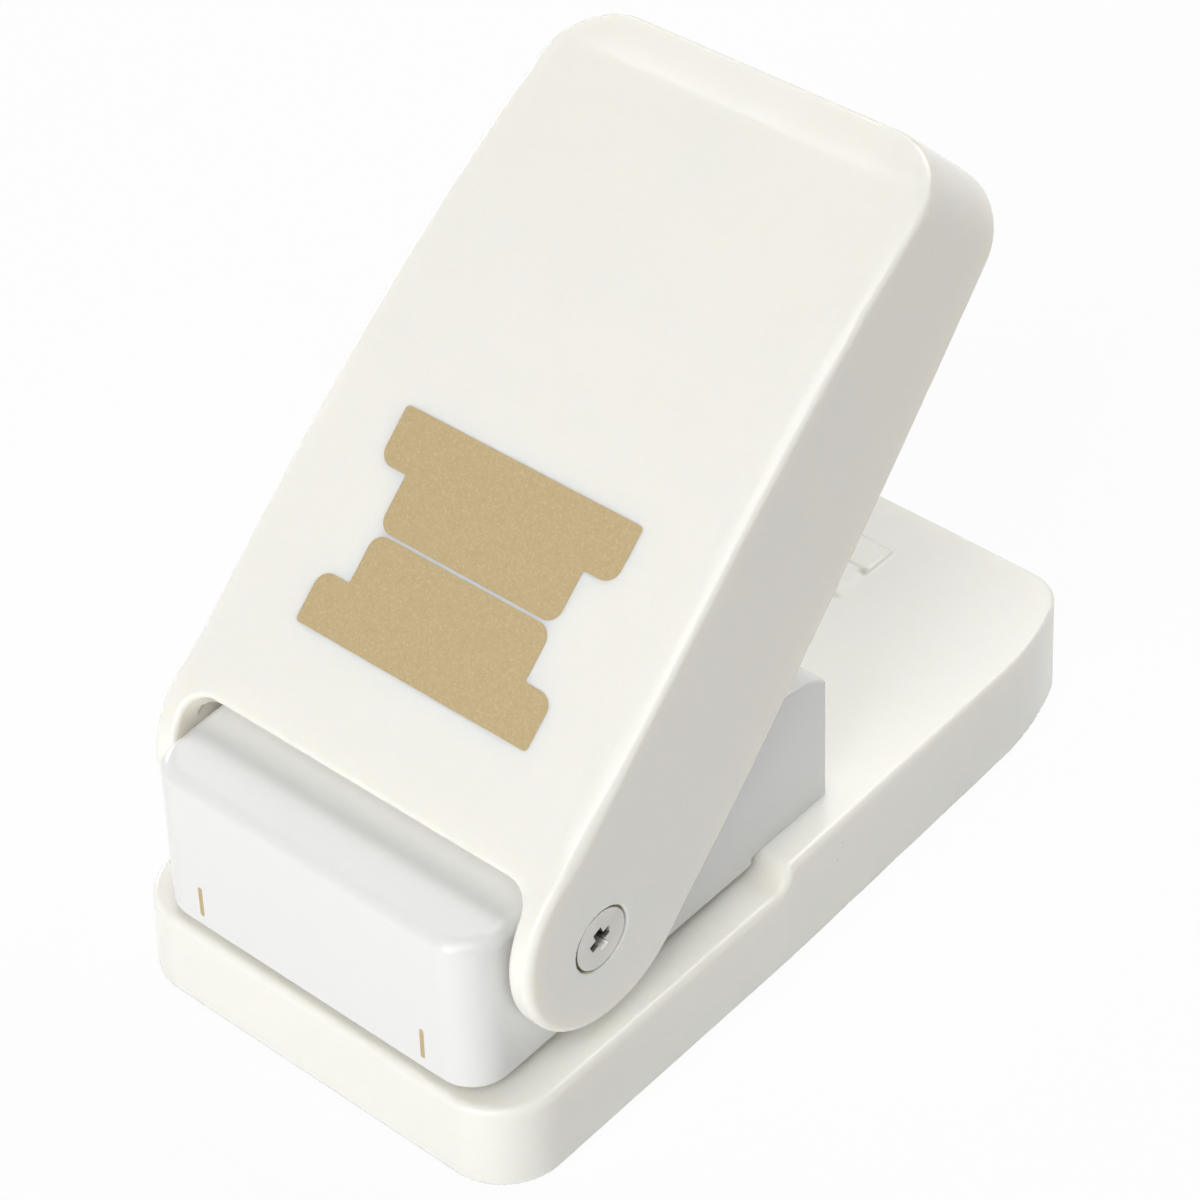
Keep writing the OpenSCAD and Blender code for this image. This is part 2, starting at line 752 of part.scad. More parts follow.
// Places of the bracket screws, in the lever's own frame
module at_bracket() {
    for (sx = [-1, 1]) for (u = bracket_u) translate([sx * bracket_x, u, 0]) children();
}

// Steel press bracket under the top plate, with two cheeks for the press pin
module press_bracket() {
    color("lightgray") lever_frame() difference() {
        union() {
            span([-cheek_x - sheet_t, web_u0, web_v], [cheek_x + sheet_t, web_u1, plate_under]);
            for (sx = [-1, 1]) translate([sx * (cheek_x + sheet_t / 2), 0, 0]) across(sheet_t / 2) {
                translate([press_u, press_v]) circle(cheek_r);
                polygon([[press_u - cheek_r, press_v], [press_u + cheek_r, press_v],
                         [web_u0 + cheek_l, plate_under], [web_u0, plate_under]]);
            }
        }
        translate([0, press_u, press_v]) rod_x(journal_r + fit, -far, far);
        at_bracket() cylinder(r = screw_r + fit, h = far);
    }
}

// Low screws that hold the press bracket to the plate
module bracket_screws() {
    low_head = 0.9;
    skin_left = 0.9;
    color("silver") lever_frame() at_bracket() translate([0, 0, web_v - low_head]) {
        cylinder(r = head_r, h = low_head);
        cylinder(r = screw_r, h = low_head + sheet_t + plate_t - skin_left);
    }
}

// Hardened press pin with stepped ends
module press_pin() {
    color("silver") lever_frame() translate([0, press_u, press_v]) {
        rod_x(press_d / 2, -cheek_x + fit, cheek_x - fit);
        rod_x(journal_r, -cheek_x - sheet_t - pin_end, cheek_x + sheet_t + pin_end);
    }
}

// Rings that keep the press pin in the cheeks
module pin_rings() {
    ring_x = cheek_x + sheet_t + fit;
    ring_t = 0.65;
    ring_w = 0.8;
    color("dimgray") lever_frame() for (side = [0, 1]) mirror([side, 0, 0])
        translate([0, press_u, press_v]) difference() {
            rod_x(journal_r + ring_w, ring_x, ring_x + ring_t);
            rod_x(journal_r + fit, 0, far);
        }
}

// Tab-shaped punch
module punch_blade() {
    color("silver") difference() {
        translate([0, tab_y, blade_z]) linear_extrude(blade_h) tab_plan();
        at_punch() translate([0, 0, carrier_z - punch_grip - tip_gap]) cylinder(r = screw_r + fit, h = far);
    }
}

// Carrier that holds the punch and rides on the guide pins
module punch_carrier() {
    rim = 1;
    color("darkgray") difference() {
        union() {
            span([-tab_w / 2 - rim, tab_y0 - rim, carrier_z], [tab_w / 2 + rim, tab_y1 + rim, carrier_top]);
            at_pins() translate([0, 0, carrier_z]) cylinder(r = cup_r, h = carrier_top + cup_h - carrier_z);
        }
        at_pins() {
            cylinder(r = pocket_r, h = pocket_top);
            cylinder(r = pin_d / 2 + run, h = far);
        }
        at_punch() translate([0, 0, carrier_top]) mirror([0, 0, 1]) flat_seat(0, far);
    }
}

// Countersunk screws that hold the punch to its carrier
module punch_screws() {
    color("silver") at_punch() translate([0, 0, carrier_top]) mirror([0, 0, 1])
        flat_screw(0, carrier_t + punch_grip);
}

// Hardened pad that the press pin bears on
module press_pad() {
    side_room = 0.7;
    half_l = 5;
    color("slategray") span([side_room - cheek_x, pivot_y + press_reach - half_l, carrier_top],
                            [cheek_x - side_room, pivot_y + press_reach + half_l, pad_top]);
}

// Points along a spring's wire, from the guide plate up to the cup's roof
spring_low = guide_top + wire_d / 2 + fit;
spring_high = pocket_top - wire_d / 2 - fit;
rings_per_turn = 8;
wire_sides = 6;
coil_r = spring_r - wire_d / 2;
spring_points = [for (i = [0:spring_turns * rings_per_turn])
    let (a = 360 * i / rings_per_turn, s = i / (spring_turns * rings_per_turn))
    [coil_r * cos(a), coil_r * sin(a), spring_low + (spring_high - spring_low) * s]];
// Least clear gap between a turn and the next, from the points
spring_gap = min([for (i = [0:len(spring_points) - 1 - rings_per_turn])
    norm(spring_points[i + rings_per_turn] - spring_points[i])]) - wire_d;
echo(spring_gap = spring_gap);

// Tube along the spring's wire
module spring_tube() {
    n = len(spring_points);
    rings = [for (i = [0:n - 1]) for (k = [0:wire_sides - 1])
        let (a = 360 * i / rings_per_turn, b = 360 * k / wire_sides)
        spring_points[i] + wire_d / 2 * [cos(b) * cos(a), cos(b) * sin(a), sin(b)]];
    skin = [for (i = [0:n - 2]) for (k = [0:wire_sides - 1])
        let (p = i * wire_sides + k, q = i * wire_sides + (k + 1) % wire_sides)
        each [[p, p + wire_sides, q], [q, p + wire_sides, q + wire_sides]]];
    last = (n - 1) * wire_sides;
    caps = [for (k = [1:wire_sides - 2]) each [[0, k, k + 1], [last, last + k + 1, last + k]]];
    polyhedron(points = rings, faces = concat(skin, caps), convexity = 10);
}

// Return springs around the guide pins
module return_springs() {
    color("gray") at_pins() spring_tube();
}

base_shell();
bottom_cover();
cover_screws();
rubber_feet();
die_plate();
slot_spacer();
guide_plate();
plate_screws();
frame_screws();
housing();
guide_pins();
pivot_inserts();
pivot_screws();
pivot_washers();
lever_shell();
press_bracket();
bracket_screws();
press_pin();
pin_rings();
punch_blade();
punch_carrier();
punch_screws();
press_pad();
return_springs();
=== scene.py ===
"""Looks of the index tab punch: moulded shells, prints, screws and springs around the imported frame.

Sizes are in millimetres and become metres when a mesh is made. The base and the block are shaped in the
frame's own axes. The lever is shaped in its own: x across, u along its top plate from the pivot, v square
to the plate.
"""
import json
import math
from itertools import product

import bpy
import numpy as np
from mathutils import Matrix, Quaternion, Vector


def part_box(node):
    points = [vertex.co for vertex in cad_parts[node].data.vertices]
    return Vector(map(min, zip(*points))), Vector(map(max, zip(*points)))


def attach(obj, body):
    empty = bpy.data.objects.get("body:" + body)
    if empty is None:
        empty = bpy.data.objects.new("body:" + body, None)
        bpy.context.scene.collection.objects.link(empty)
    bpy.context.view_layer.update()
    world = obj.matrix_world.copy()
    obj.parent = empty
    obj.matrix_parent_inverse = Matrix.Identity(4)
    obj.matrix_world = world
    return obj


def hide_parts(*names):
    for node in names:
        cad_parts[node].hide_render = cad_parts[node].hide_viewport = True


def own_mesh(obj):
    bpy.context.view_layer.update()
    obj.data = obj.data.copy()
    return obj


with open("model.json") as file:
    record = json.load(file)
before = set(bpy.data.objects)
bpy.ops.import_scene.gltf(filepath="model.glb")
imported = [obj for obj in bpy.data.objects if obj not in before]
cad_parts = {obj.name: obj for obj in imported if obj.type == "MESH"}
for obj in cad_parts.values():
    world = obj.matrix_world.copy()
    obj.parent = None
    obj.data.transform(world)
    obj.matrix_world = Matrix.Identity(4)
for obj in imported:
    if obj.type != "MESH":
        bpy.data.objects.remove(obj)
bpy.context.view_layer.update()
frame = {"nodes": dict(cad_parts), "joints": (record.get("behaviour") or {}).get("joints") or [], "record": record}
MM = 0.001


# Sizes read from the frame

def box_mm(node):
    """Lowest and highest corners of a CAD node, in millimetres."""
    low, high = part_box(node)
    return np.array(low) / MM, np.array(high) / MM


base_low, base_high = box_mm("base_shell")
cover_low, cover_high = box_mm("bottom_cover")
die_low, die_high = box_mm("die_plate")
spacer_low, _ = box_mm("slot_spacer")
guide_low, guide_high = box_mm("guide_plate")
block_low, block_high = box_mm("housing")
_, lever_high = box_mm("lever_shell")
_, insert_high = box_mm("pivot_inserts")
spring_low, spring_high = box_mm("return_springs")
pin_low, pin_high = box_mm("guide_pins")

hinge = next(j for j in frame["joints"] if j["name"] == "lever_hinge")
pivot = np.array(hinge["pos_m"]) / MM

# Fits and small edges shared by the mouldings, where FAR stands for no end
FIT = 0.05
GAP = 0.3
SOFT = 0.35
SCREW_R = 1.5
BOSS_R = 3.2
SEAT_EDGE = 0.1
OVERLAP = 1.0
FAR = 500.0

# Base: RIM_BAND runs in from the side, and the pad's pairs run along Y
BASE_DRAFT = math.tan(math.radians(1.86))
REAR_DRAW = 1.7
REAR_BOW = 0.6
TURN_IN = 19.0
TURN_IN_R = 42.0
FRONT_R = 8.4
REAR_R = 3.7
FRONT_EDGE = 1.0
REAR_EDGE = 0.5
RIM_EDGE = 0.15
SKIRT = 0.2
STEP_EDGE = 0.7
STEP_FOOT = 1.6
STEP_SLOPE = 0.25
RIM_RISE = 0.3
RIM_BAND = (11.0, 1.5)
BASE_WALL = 2.4
BASE_SKIN = 2.4
ROOM_R = 0.6
PAD_H = 0.8
PAD_SHOWN = 0.5
PAD_HALF = 4.2
PAD_REAR = (42.5, 48.0)
PAD_FRONT = (36.5, 42.5)
PAD_STEP = 0.5
PAD_DIP = 0.125
PAD_EDGE = 0.4
PAD_FOOT = 0.7
PAD_ROOT = 10.0
CHUTE_WALL = 1.4
CHUTE_ROOM = 1.0
CHUTE_R = 1.0
CHUTE_EDGE = 0.2
COVER_BORE = 3.6
TAB_W = 35.2
TAB_D = 28.0
TAB_TO_STOP = 8.0
FOOT_IN = 10.3
COVER_REAR_X = 10.65

rim_z = base_low[2] - SKIRT
platform_z = die_high[2]
deck_z = base_high[2] - PAD_H
skin_z = die_low[2] - BASE_SKIN
front_y, rear_y = base_low[1], base_high[1]
stop_y = spacer_low[1]
half_w = base_high[0]
tab_y = stop_y - TAB_TO_STOP - TAB_D / 2
cover_screws_at = ((half_w - BASE_WALL - BOSS_R, tab_y), (COVER_REAR_X, rear_y - FOOT_IN))
frame_screws_x = [k * TAB_W / 3 for k in (0.5, 1.5)]

# Block: PLATE_SCREW is (x, y), and ROOF_SLOT has a low and a high corner
BLOCK_DRAFT = math.tan(math.radians(0.92))
BLOCK_R = 5.2
BROW_R = 1.9
SIDE_BROW_R = 1.0
REAR_BROW_R = 0.45
CROWN_R = 15.0
CROWN_L = 8.4
TAIL_EDGE = 0.6
TAIL_STEP_EDGE = 0.2
SLOT_EDGE = 0.45
BLOCK_ROOF = 2.4
BLOCK_ROOM_R = 0.8
FRAME_GRIP = 8.3
FRAME_BORE = 7.2
PLATE_GRIP = 6.3
PLATE_BORE = 5.2
FRAME_SCREW_Y = 1.9
PLATE_SCREW = (5.5, -50.8)
PIVOT_THREAD_L = 5.3
INSERT_R = 3.0
INSERT_BOSS_R = 4.7
ROOF_SLOT = ((-13.2, -40.57), (13.2, -22.7))
ROOF_SLOT_DEEP = 8.0

block_half = block_high[0]
slot_z = guide_low[2]
block_y0, block_y1 = block_low[1], block_high[1]
block_top = block_high[2]
core_x = guide_high[0] + GAP
core_y0, core_y1 = guide_low[1] - GAP, guide_high[1] + GAP

# Lever, in its own axes: a roll is (width, drop), a fade (start, end), the lip (thickness, low edge)
LEVER_OPEN = math.radians(42.5)
LEVER_DRAW = 2.1
REACH = 94.4
END_R = 8.5
END_LEAN = math.tan(math.radians(4.3))
PLATE_TOP = 13.9
PLATE_T = 3.0
PLATE_FRONT = 2.2
BEND_START = 40.0
BEND_R = 250.0
SIDE_ROLL = (2.8, 0.7)
END_ROLL = (5.5, 0.85)
END_CREASE = 0.15
CORNER_REACH = 1.5 * END_R
ROLL_LIMIT = 1.2
ROLL_FADE = (2.0, 9.0)
EAR_R = 13.785
EAR_TALL = 14.485
EAR_U = 1.985
EAR_V = -0.585
EAR_ZONE = EAR_U + EAR_R
EAR_EDGE = 1.1
SIDE_EDGE = 0.5
EDGE_FADE = (5.0, 25.0)
CUT_EDGE = 0.7
FRONT_CORNER_R = 3.5
LEVER_WALL = 2.5
HOLLOW_R = 0.8
HOLLOW_STEP_R = 0.5
HEEL_R = 1.6
TAIL_DROP = 9.1
LIP = (2.0, 8.46)
RIB_T = 1.8
RIB_H = 8.0
RIB_U = (49.3, 63.3)
RIB_FOOT = 0.6
MIDDLE_RIB_END = 1.2
MIDDLE_RIB_DROP = 4.0
POST_HALF = 3.2
POST_U = (78.8, 82.8)
POST_V = -12.67
POST_ROOT = 3.0
POST_EDGE = 0.5
POST_FOOT = 0.8
SHOULDER_R = 2.66
COUNTER_R = 4.3
COUNTER_D = 1.8
COUNTER_FOOT = 0.15
COUNTER_RIM = 0.22
BRACKET_X = 6.0
BRACKET_U = (18.8, 34.7)
PILOT_LEFT = 0.7
EAR_GAP = 0.45

lever_half = lever_high[0]
ear_in = block_half + EAR_GAP
ear_low = EAR_V - EAR_R
end_v = PLATE_TOP - (REACH - BEND_START) ** 2 / (2 * BEND_R) - END_ROLL[1]


# Solid shapes as distance fields: negative inside, so that edges can be rounded as a mould rounds them

def meet(a, b, r=0.0):
    """What two shapes share, with the edge between them rounded to r."""
    return np.minimum(np.maximum(a, b), -r) + np.hypot(np.maximum(a + r, 0), np.maximum(b + r, 0))


def join(a, b, r=0.0):
    """Two shapes as one, with the corner between them filled to r."""
    return np.maximum(np.minimum(a, b), r) - np.hypot(np.maximum(r - a, 0), np.maximum(r - b, 0))


def cut(a, b, r=0.0):
    """Shape a without shape b, with the edge of the cut rounded to r."""
    return meet(a, -b, r)


def between(value, low, high):
    """Distance outside an interval."""
    return np.maximum(low - value, value - high)


def brick(x, y, z, low, high, r=SOFT):
    """A box with rounded edges."""
    sides = meet(between(x, low[0], high[0]), between(y, low[1], high[1]), r)
    return meet(sides, between(z, low[2], high[2]), r)


def rod(a, b, along, radius, low, high, r=SOFT):
    """A round rod: a and b are measured across it from its middle."""
    return meet(np.hypot(a, b) - radius, between(along, low, high), r)


def bored(shape, a, b, along, end):
    """A shape with a screw's hole in it that stops at end."""
    return np.maximum(shape, -rod(a, b, along, SCREW_R + FIT, -FAR, end, 0.0))


def ease(value, low, high):
    """Smooth step from 0 at low to 1 at high."""
    t = np.clip((value - low) / (high - low), 0, 1)
    return t * t * (3 - 2 * t)


# Base moulding

def base_plan(x, y, z, inset):
    """Outline of the base at height z, drawn in by its draft and by inset."""
    draft = BASE_DRAFT * (z - rim_z) + inset
    draw = REAR_DRAW * np.maximum(y - stop_y, 0) / (rear_y - stop_y)
    turn_in = np.maximum(y - rear_y + TURN_IN, 0) ** 2 / (2 * TURN_IN_R)
    side = np.abs(x) - half_w + draw + turn_in + draft
    front = front_y - y + draft
    rear = y - rear_y + draft + REAR_BOW * (x / half_w) ** 2
    return meet(meet(side, front, FRONT_R - inset), rear, REAR_R - inset)


def base_bosses(x, y, z):
    """Bosses for the cover's screws, two beside the chute and two at the rear."""
    posts = FAR
    for across, along in cover_screws_at:
        post = rod(np.abs(x) - across, y - along, z, BOSS_R, cover_high[2], FAR)
        posts = np.minimum(posts, post)
    return posts


def base_pad(x, y, z):
    """Landing pad on the deck: a rear half, and a front half that is a little narrower and lower."""
    root, top = rim_z + PAD_ROOT, deck_z + PAD_SHOWN
    rear = brick(x, y, z, (-PAD_HALF, PAD_REAR[0], root), (PAD_HALF, PAD_REAR[1], top), PAD_EDGE)
    narrow = PAD_HALF - PAD_STEP
    front = brick(x, y, z, (-narrow, PAD_FRONT[0], root),
                  (narrow, PAD_FRONT[1] + OVERLAP, top - PAD_DIP), PAD_EDGE)
    return np.minimum(rear, front)


def base_rooms(x, y, z, chute):
    """Rooms under the plates and, higher, under the deck, less the chute's walls and the bosses."""
    inner = base_plan(x, y, z, BASE_WALL)
    low_room = meet(inner, z - skin_z, ROOM_R)
    high_room = meet(meet(inner, z - deck_z + BASE_SKIN, ROOM_R), block_y1 - y, ROOM_R)
    room = np.minimum(low_room, high_room)
    room = cut(room, meet(chute - CHUTE_WALL, cover_high[2] - z, SOFT), SOFT)
    return cut(room, base_bosses(x, y, z), SOFT)


def base_field(x, y, z):
    """Platform, paper stop, rear deck and landing pad, hollow below, open through the label chute."""
    wide = np.abs(x)
    rise = RIM_RISE * ease(wide, half_w - RIM_BAND[0], half_w - RIM_BAND[1])
    wall = stop_y - y + STEP_SLOPE * (z - platform_z)
    top = join(z - platform_z, meet(z - deck_z - rise, wall, STEP_EDGE), STEP_FOOT)
    edge = FRONT_EDGE + (REAR_EDGE - FRONT_EDGE) * ease(y, stop_y, rear_y)
    shell = meet(base_plan(x, y, z, 0.0), top, edge)
    shell = meet(shell, rim_z - z, RIM_EDGE)
    shell = join(shell, base_pad(x, y, z), PAD_FOOT)
    chute_x, chute_y = TAB_W / 2 + CHUTE_ROOM, TAB_D / 2 + CHUTE_ROOM
    chute = meet(between(x, -chute_x, chute_x), between(y, tab_y - chute_y, tab_y + chute_y), CHUTE_R)
    shell = cut(cut(shell, base_rooms(x, y, z, chute), SOFT), chute, CHUTE_EDGE)
    # Seats of the die plate and of the plates under the block's tail
    die_seat = brick(x, y, z, die_low - FIT, (die_high[0] + FIT, core_y1, FAR), SEAT_EDGE)
    tail_seat = brick(x, y, z, (-core_x, stop_y - OVERLAP, platform_z), (core_x, core_y1, FAR), SEAT_EDGE)
    shell = cut(shell, np.minimum(die_seat, tail_seat), SEAT_EDGE)
    for across, along in cover_screws_at:
        shell = bored(shell, wide - across, y - along, z, cover_high[2] + COVER_BORE)
    for across in frame_screws_x:
        shell = bored(shell, wide - across, y - FRAME_SCREW_Y, z, FAR)
    return shell


# Block moulding

def block_outside(x, y, z):
    """The block's drafted walls, rounded brow and falling crown, without its hollow."""
    draft = BLOCK_DRAFT * (z - slot_z)
    walls = meet(np.abs(x) - block_half + draft, block_y0 - y + draft, BLOCK_R)
    crown_y, crown_z = block_y1 - CROWN_L, block_top - CROWN_R
    falling = np.hypot(y - crown_y, np.maximum(z - crown_z, 0)) - CROWN_R
    roof = np.where(y > crown_y, falling, z - block_top)
    brow = BROW_R + (SIDE_BROW_R - BROW_R) * ease(y, block_y0 + BLOCK_R, block_y0 + 3 * BLOCK_R)
    brow = brow + (REAR_BROW_R - SIDE_BROW_R) * ease(y, crown_y - 3 * CROWN_L, crown_y)
    body = meet(walls, roof, brow)
    return meet(body, y - block_y1, TAIL_EDGE)


def block_bosses(x, y, z):
    """Bosses for the frame screws, the guide plate's front screws and the pivot inserts."""
    wide = np.abs(x)
    guide_top = guide_high[2]
    bosses = rod(wide - PLATE_SCREW[0], y - PLATE_SCREW[1], z, BOSS_R, guide_top, guide_top + PLATE_GRIP)
    for across in frame_screws_x:
        post = rod(wide - across, y - FRAME_SCREW_Y, z, BOSS_R, guide_top, guide_top + FRAME_GRIP)
        bosses = np.minimum(bosses, post)
    inner_end = insert_high[0] - PIVOT_THREAD_L
    holder = rod(y - pivot[1], z - pivot[2], wide, INSERT_BOSS_R, inner_end, core_x + OVERLAP)
    return np.minimum(bosses, holder)


def block_field(x, y, z):
    """Block over the punch: walls, roof with the lever's slot, bosses, and the open paper slot below."""
    wide = np.abs(x)
    body = meet(block_outside(x, y, z), slot_z - z, SLOT_EDGE)
    tail = np.maximum(z - deck_z, stop_y - GAP - y)
    body = cut(body, tail, TAIL_STEP_EDGE)
    room = brick(x, y, z, (-core_x, core_y0, -FAR), (core_x, core_y1, block_top - BLOCK_ROOF), BLOCK_ROOM_R)
    room = cut(room, block_bosses(x, y, z), SOFT)
    body = cut(body, room, SOFT)
    (left, front), (right, rear) = ROOF_SLOT
    slot = brick(x, y, z, (left, front, block_top - ROOF_SLOT_DEEP), (right, rear, FAR), BLOCK_ROOM_R)
    body = cut(body, slot, SOFT)
    body = np.maximum(body, INSERT_R + FIT - np.hypot(y - pivot[1], z - pivot[2]))
    for across in frame_screws_x:
        body = bored(body, wide - across, y - FRAME_SCREW_Y, z, guide_high[2] + FRAME_BORE)
    return bored(body, wide - PLATE_SCREW[0], y - PLATE_SCREW[1], z, guide_high[2] + PLATE_BORE)


# Lever moulding

def plate_at(u):
    """Height of the top plate along the lever: flat, then falling in a long curve."""
    return PLATE_TOP - np.maximum(u - BEND_START, 0) ** 2 / (2 * BEND_R)


def half_at(u):
    """Half-width of the lever along its length: the sides draw in towards the free end."""
    return lever_half - LEVER_DRAW * (np.maximum(u, 0) / REACH) ** 2


def past_end(u, v):
    """Distance beyond the free end's wall, which leans out below its top edge."""
    return u - REACH - END_LEAN * (end_v - v)


def lever_plan(x, u, v, inset=0.0):
    """The lever seen square to its plate: gently drawn-in sides and a rounded free end."""
    return meet(np.abs(x) - half_at(u) + inset, past_end(u, v) + inset, END_R - inset)


def lever_top(x, u):
    """Height of the top surface: its sides roll off in a curve, and its end breaks into a sloping band."""
    to_side = np.maximum(np.abs(x) - half_at(u) + CORNER_REACH, 0) ** 4
    to_end = np.maximum(u - REACH + CORNER_REACH, 0) ** 4
    turn = to_end / (to_side + to_end + CORNER_REACH)
    width = SIDE_ROLL[0] + (END_ROLL[0] - SIDE_ROLL[0]) * turn
    share = 1 + lever_plan(x, u, end_v) / width
    rolled = SIDE_ROLL[1] * ease(u, *ROLL_FADE) * np.clip(share, 0, ROLL_LIMIT) ** 2
    band = END_ROLL[1] * (share + np.hypot(share, END_CREASE)) / 2
    return plate_at(u) - rolled * (1 - turn) - band * turn


def lever_side(u, v):
    """The lever seen from the side: round ears, rising bottom edge and heel."""
    tilt = math.atan2(-TAIL_DROP - ear_low, REACH - EAR_U)
    bottom = (ear_low - v) * math.cos(tilt) + (u - EAR_U) * math.sin(tilt)
    body = np.maximum(meet(bottom, past_end(u, v) - SOFT, HEEL_R + SOFT), EAR_U - u)
    squeeze = np.where(v > EAR_V, EAR_R / EAR_TALL, 1.0)
    ahead, rise = u - EAR_U, squeeze * (v - EAR_V)
    out = np.hypot(ahead, rise)
    ear = (out - EAR_R) * out / np.maximum(np.hypot(ahead, squeeze * rise), 1.0)
    return np.minimum(ear, body)


def lever_hollow(x, u, v):
    """The space under the plate and between the ears, open in front of the plate's edge."""
    wide = np.abs(x)
    under = v - plate_at(u) + PLATE_T
    front = meet(wide - ear_in, u - PLATE_FRONT, FRONT_CORNER_R)
    ears = meet(meet(wide - ear_in, u - EAR_ZONE, HOLLOW_STEP_R), under, HOLLOW_R)
    behind = meet(lever_plan(x, u, v, LEVER_WALL), EAR_ZONE - u, HOLLOW_STEP_R)
    walls = meet(behind, under, HOLLOW_R)
    return np.minimum(np.minimum(front, ears), walls)


def lever_stiffeners(x, u, v):
    """Lip under the plate's front edge, cross ribs, a middle rib, and the post that lands on the base."""
    under = PLATE_TOP - PLATE_T
    lip_x = ear_in + OVERLAP
    ribs = brick(x, u, v, (-lip_x, PLATE_FRONT, LIP[1]), (lip_x, PLATE_FRONT + LIP[0], under + OVERLAP))
    inside = np.abs(x) - lever_half + LEVER_DRAW + LEVER_WALL / 2
    for rib_u in RIB_U:
        rib = meet(between(u, rib_u, rib_u + RIB_T), between(v, under - RIB_H, under), SOFT)
        ribs = np.minimum(ribs, meet(rib, inside, SOFT))
    middle = brick(x, u, v, (-RIB_T / 2, RIB_U[1], under - RIB_H),
                   (RIB_T / 2, REACH - MIDDLE_RIB_END, under - MIDDLE_RIB_DROP))
    post_top = under - POST_ROOT
    post = brick(x, u, v, (-POST_HALF, POST_U[0], POST_V), (POST_HALF, POST_U[1], post_top), POST_EDGE)
    return join(np.minimum(ribs, middle), post, POST_FOOT)


def lever_field(x, u, v):
    """Palm lever: top plate, side walls and ears, stiffened inside, with the bores for its screws."""
    wide = np.abs(x)
    edge = EAR_EDGE + (SIDE_EDGE - EAR_EDGE) * ease(u, *EDGE_FADE)
    outside = meet(lever_plan(x, u, v), np.maximum(lever_side(u, v), v - lever_top(x, u)), edge)
    shell = cut(outside, lever_hollow(x, u, v), CUT_EDGE)
    shell = join(shell, lever_stiffeners(x, u, v), RIB_FOOT)
    bore = np.hypot(u, v)
    shell = np.maximum(shell, SHOULDER_R - bore)
    seat = meet(bore - COUNTER_R, lever_half - COUNTER_D - wide, COUNTER_FOOT)
    shell = cut(shell, seat, COUNTER_RIM)
    pilot_end = PLATE_TOP - PILOT_LEFT
    for screw_u in BRACKET_U:
        pilot = rod(wide - BRACKET_X, u - screw_u, v, SCREW_R + FIT, -FAR, pilot_end, SEAT_EDGE)
        shell = np.maximum(shell, -pilot)
    return shell


# Meshes from fields

GRID_GROWTH = 0.3


def rulings(low, high, spacing, near, reach=1.2):
    """Grid lines from low to high, closer together around the places in near."""
    coarse, fine = spacing
    lines = [low]
    while lines[-1] < high:
        away = min(abs(lines[-1] - place) for place in near)
        lines.append(lines[-1] + min(coarse, fine + max(0.0, away - reach) * GRID_GROWTH))
    return np.array(lines)


def mirrored(high, spacing, near):
    """Grid lines spaced alike on both sides of zero."""
    right = rulings(0.0, high, spacing, near)
    return np.concatenate([-right[:0:-1], right])


def slope(field, points, step=0.02):
    """Gradient of a field at a list of points."""
    columns = [(field(*(points + d).T) - field(*(points - d).T)) / (2 * step) for d in step * np.eye(3)]
    return np.stack(columns, 1)


def crossing_points(value, lines, cells):
    """A start for each surface vertex: the mean of the crossings on its cell's edges."""
    total, hits = np.zeros((len(cells), 3)), np.zeros(len(cells))
    for axis, b, c in product(range(3), (0, 1), (0, 1)):
        near, far = (cells + np.roll([end, b, c], axis) for end in (0, 1))
        v0, v1 = value[tuple(near.T)], value[tuple(far.T)]
        crossed = (v0 < 0) != (v1 < 0)
        share = np.where(crossed, v0 / np.where(crossed, v0 - v1, 1), 0)[:, None]
        p0, p1 = (np.stack([lines[n][at[:, n]] for n in range(3)], 1) for at in (near, far))
        total += crossed[:, None] * (p0 + share * (p1 - p0))
        hits += crossed
    return total / hits[:, None]


def surface_quads(solid, number):
    """One quad around each grid edge that passes through the surface, facing outwards."""
    quads = []
    for axis in range(3):
        order = (axis, (axis + 1) % 3, (axis + 2) % 3)
        inside, ids = np.transpose(solid, order), np.transpose(number, order)
        start, stop = inside[:-1, 1:-1, 1:-1], inside[1:, 1:-1, 1:-1]
        i, j, k = np.argwhere(start != stop).T
        ring = np.stack([ids[i, j, k], ids[i, j + 1, k], ids[i, j + 1, k + 1], ids[i, j, k + 1]], 1)
        leaving = start[i, j, k][:, None]
        quads.append(np.where(leaving, ring, ring[:, ::-1]))
    return np.concatenate(quads)


SETTLE_STEPS = 4
SETTLE_MOVE = 0.25
LEAST_SLOPE = 0.2


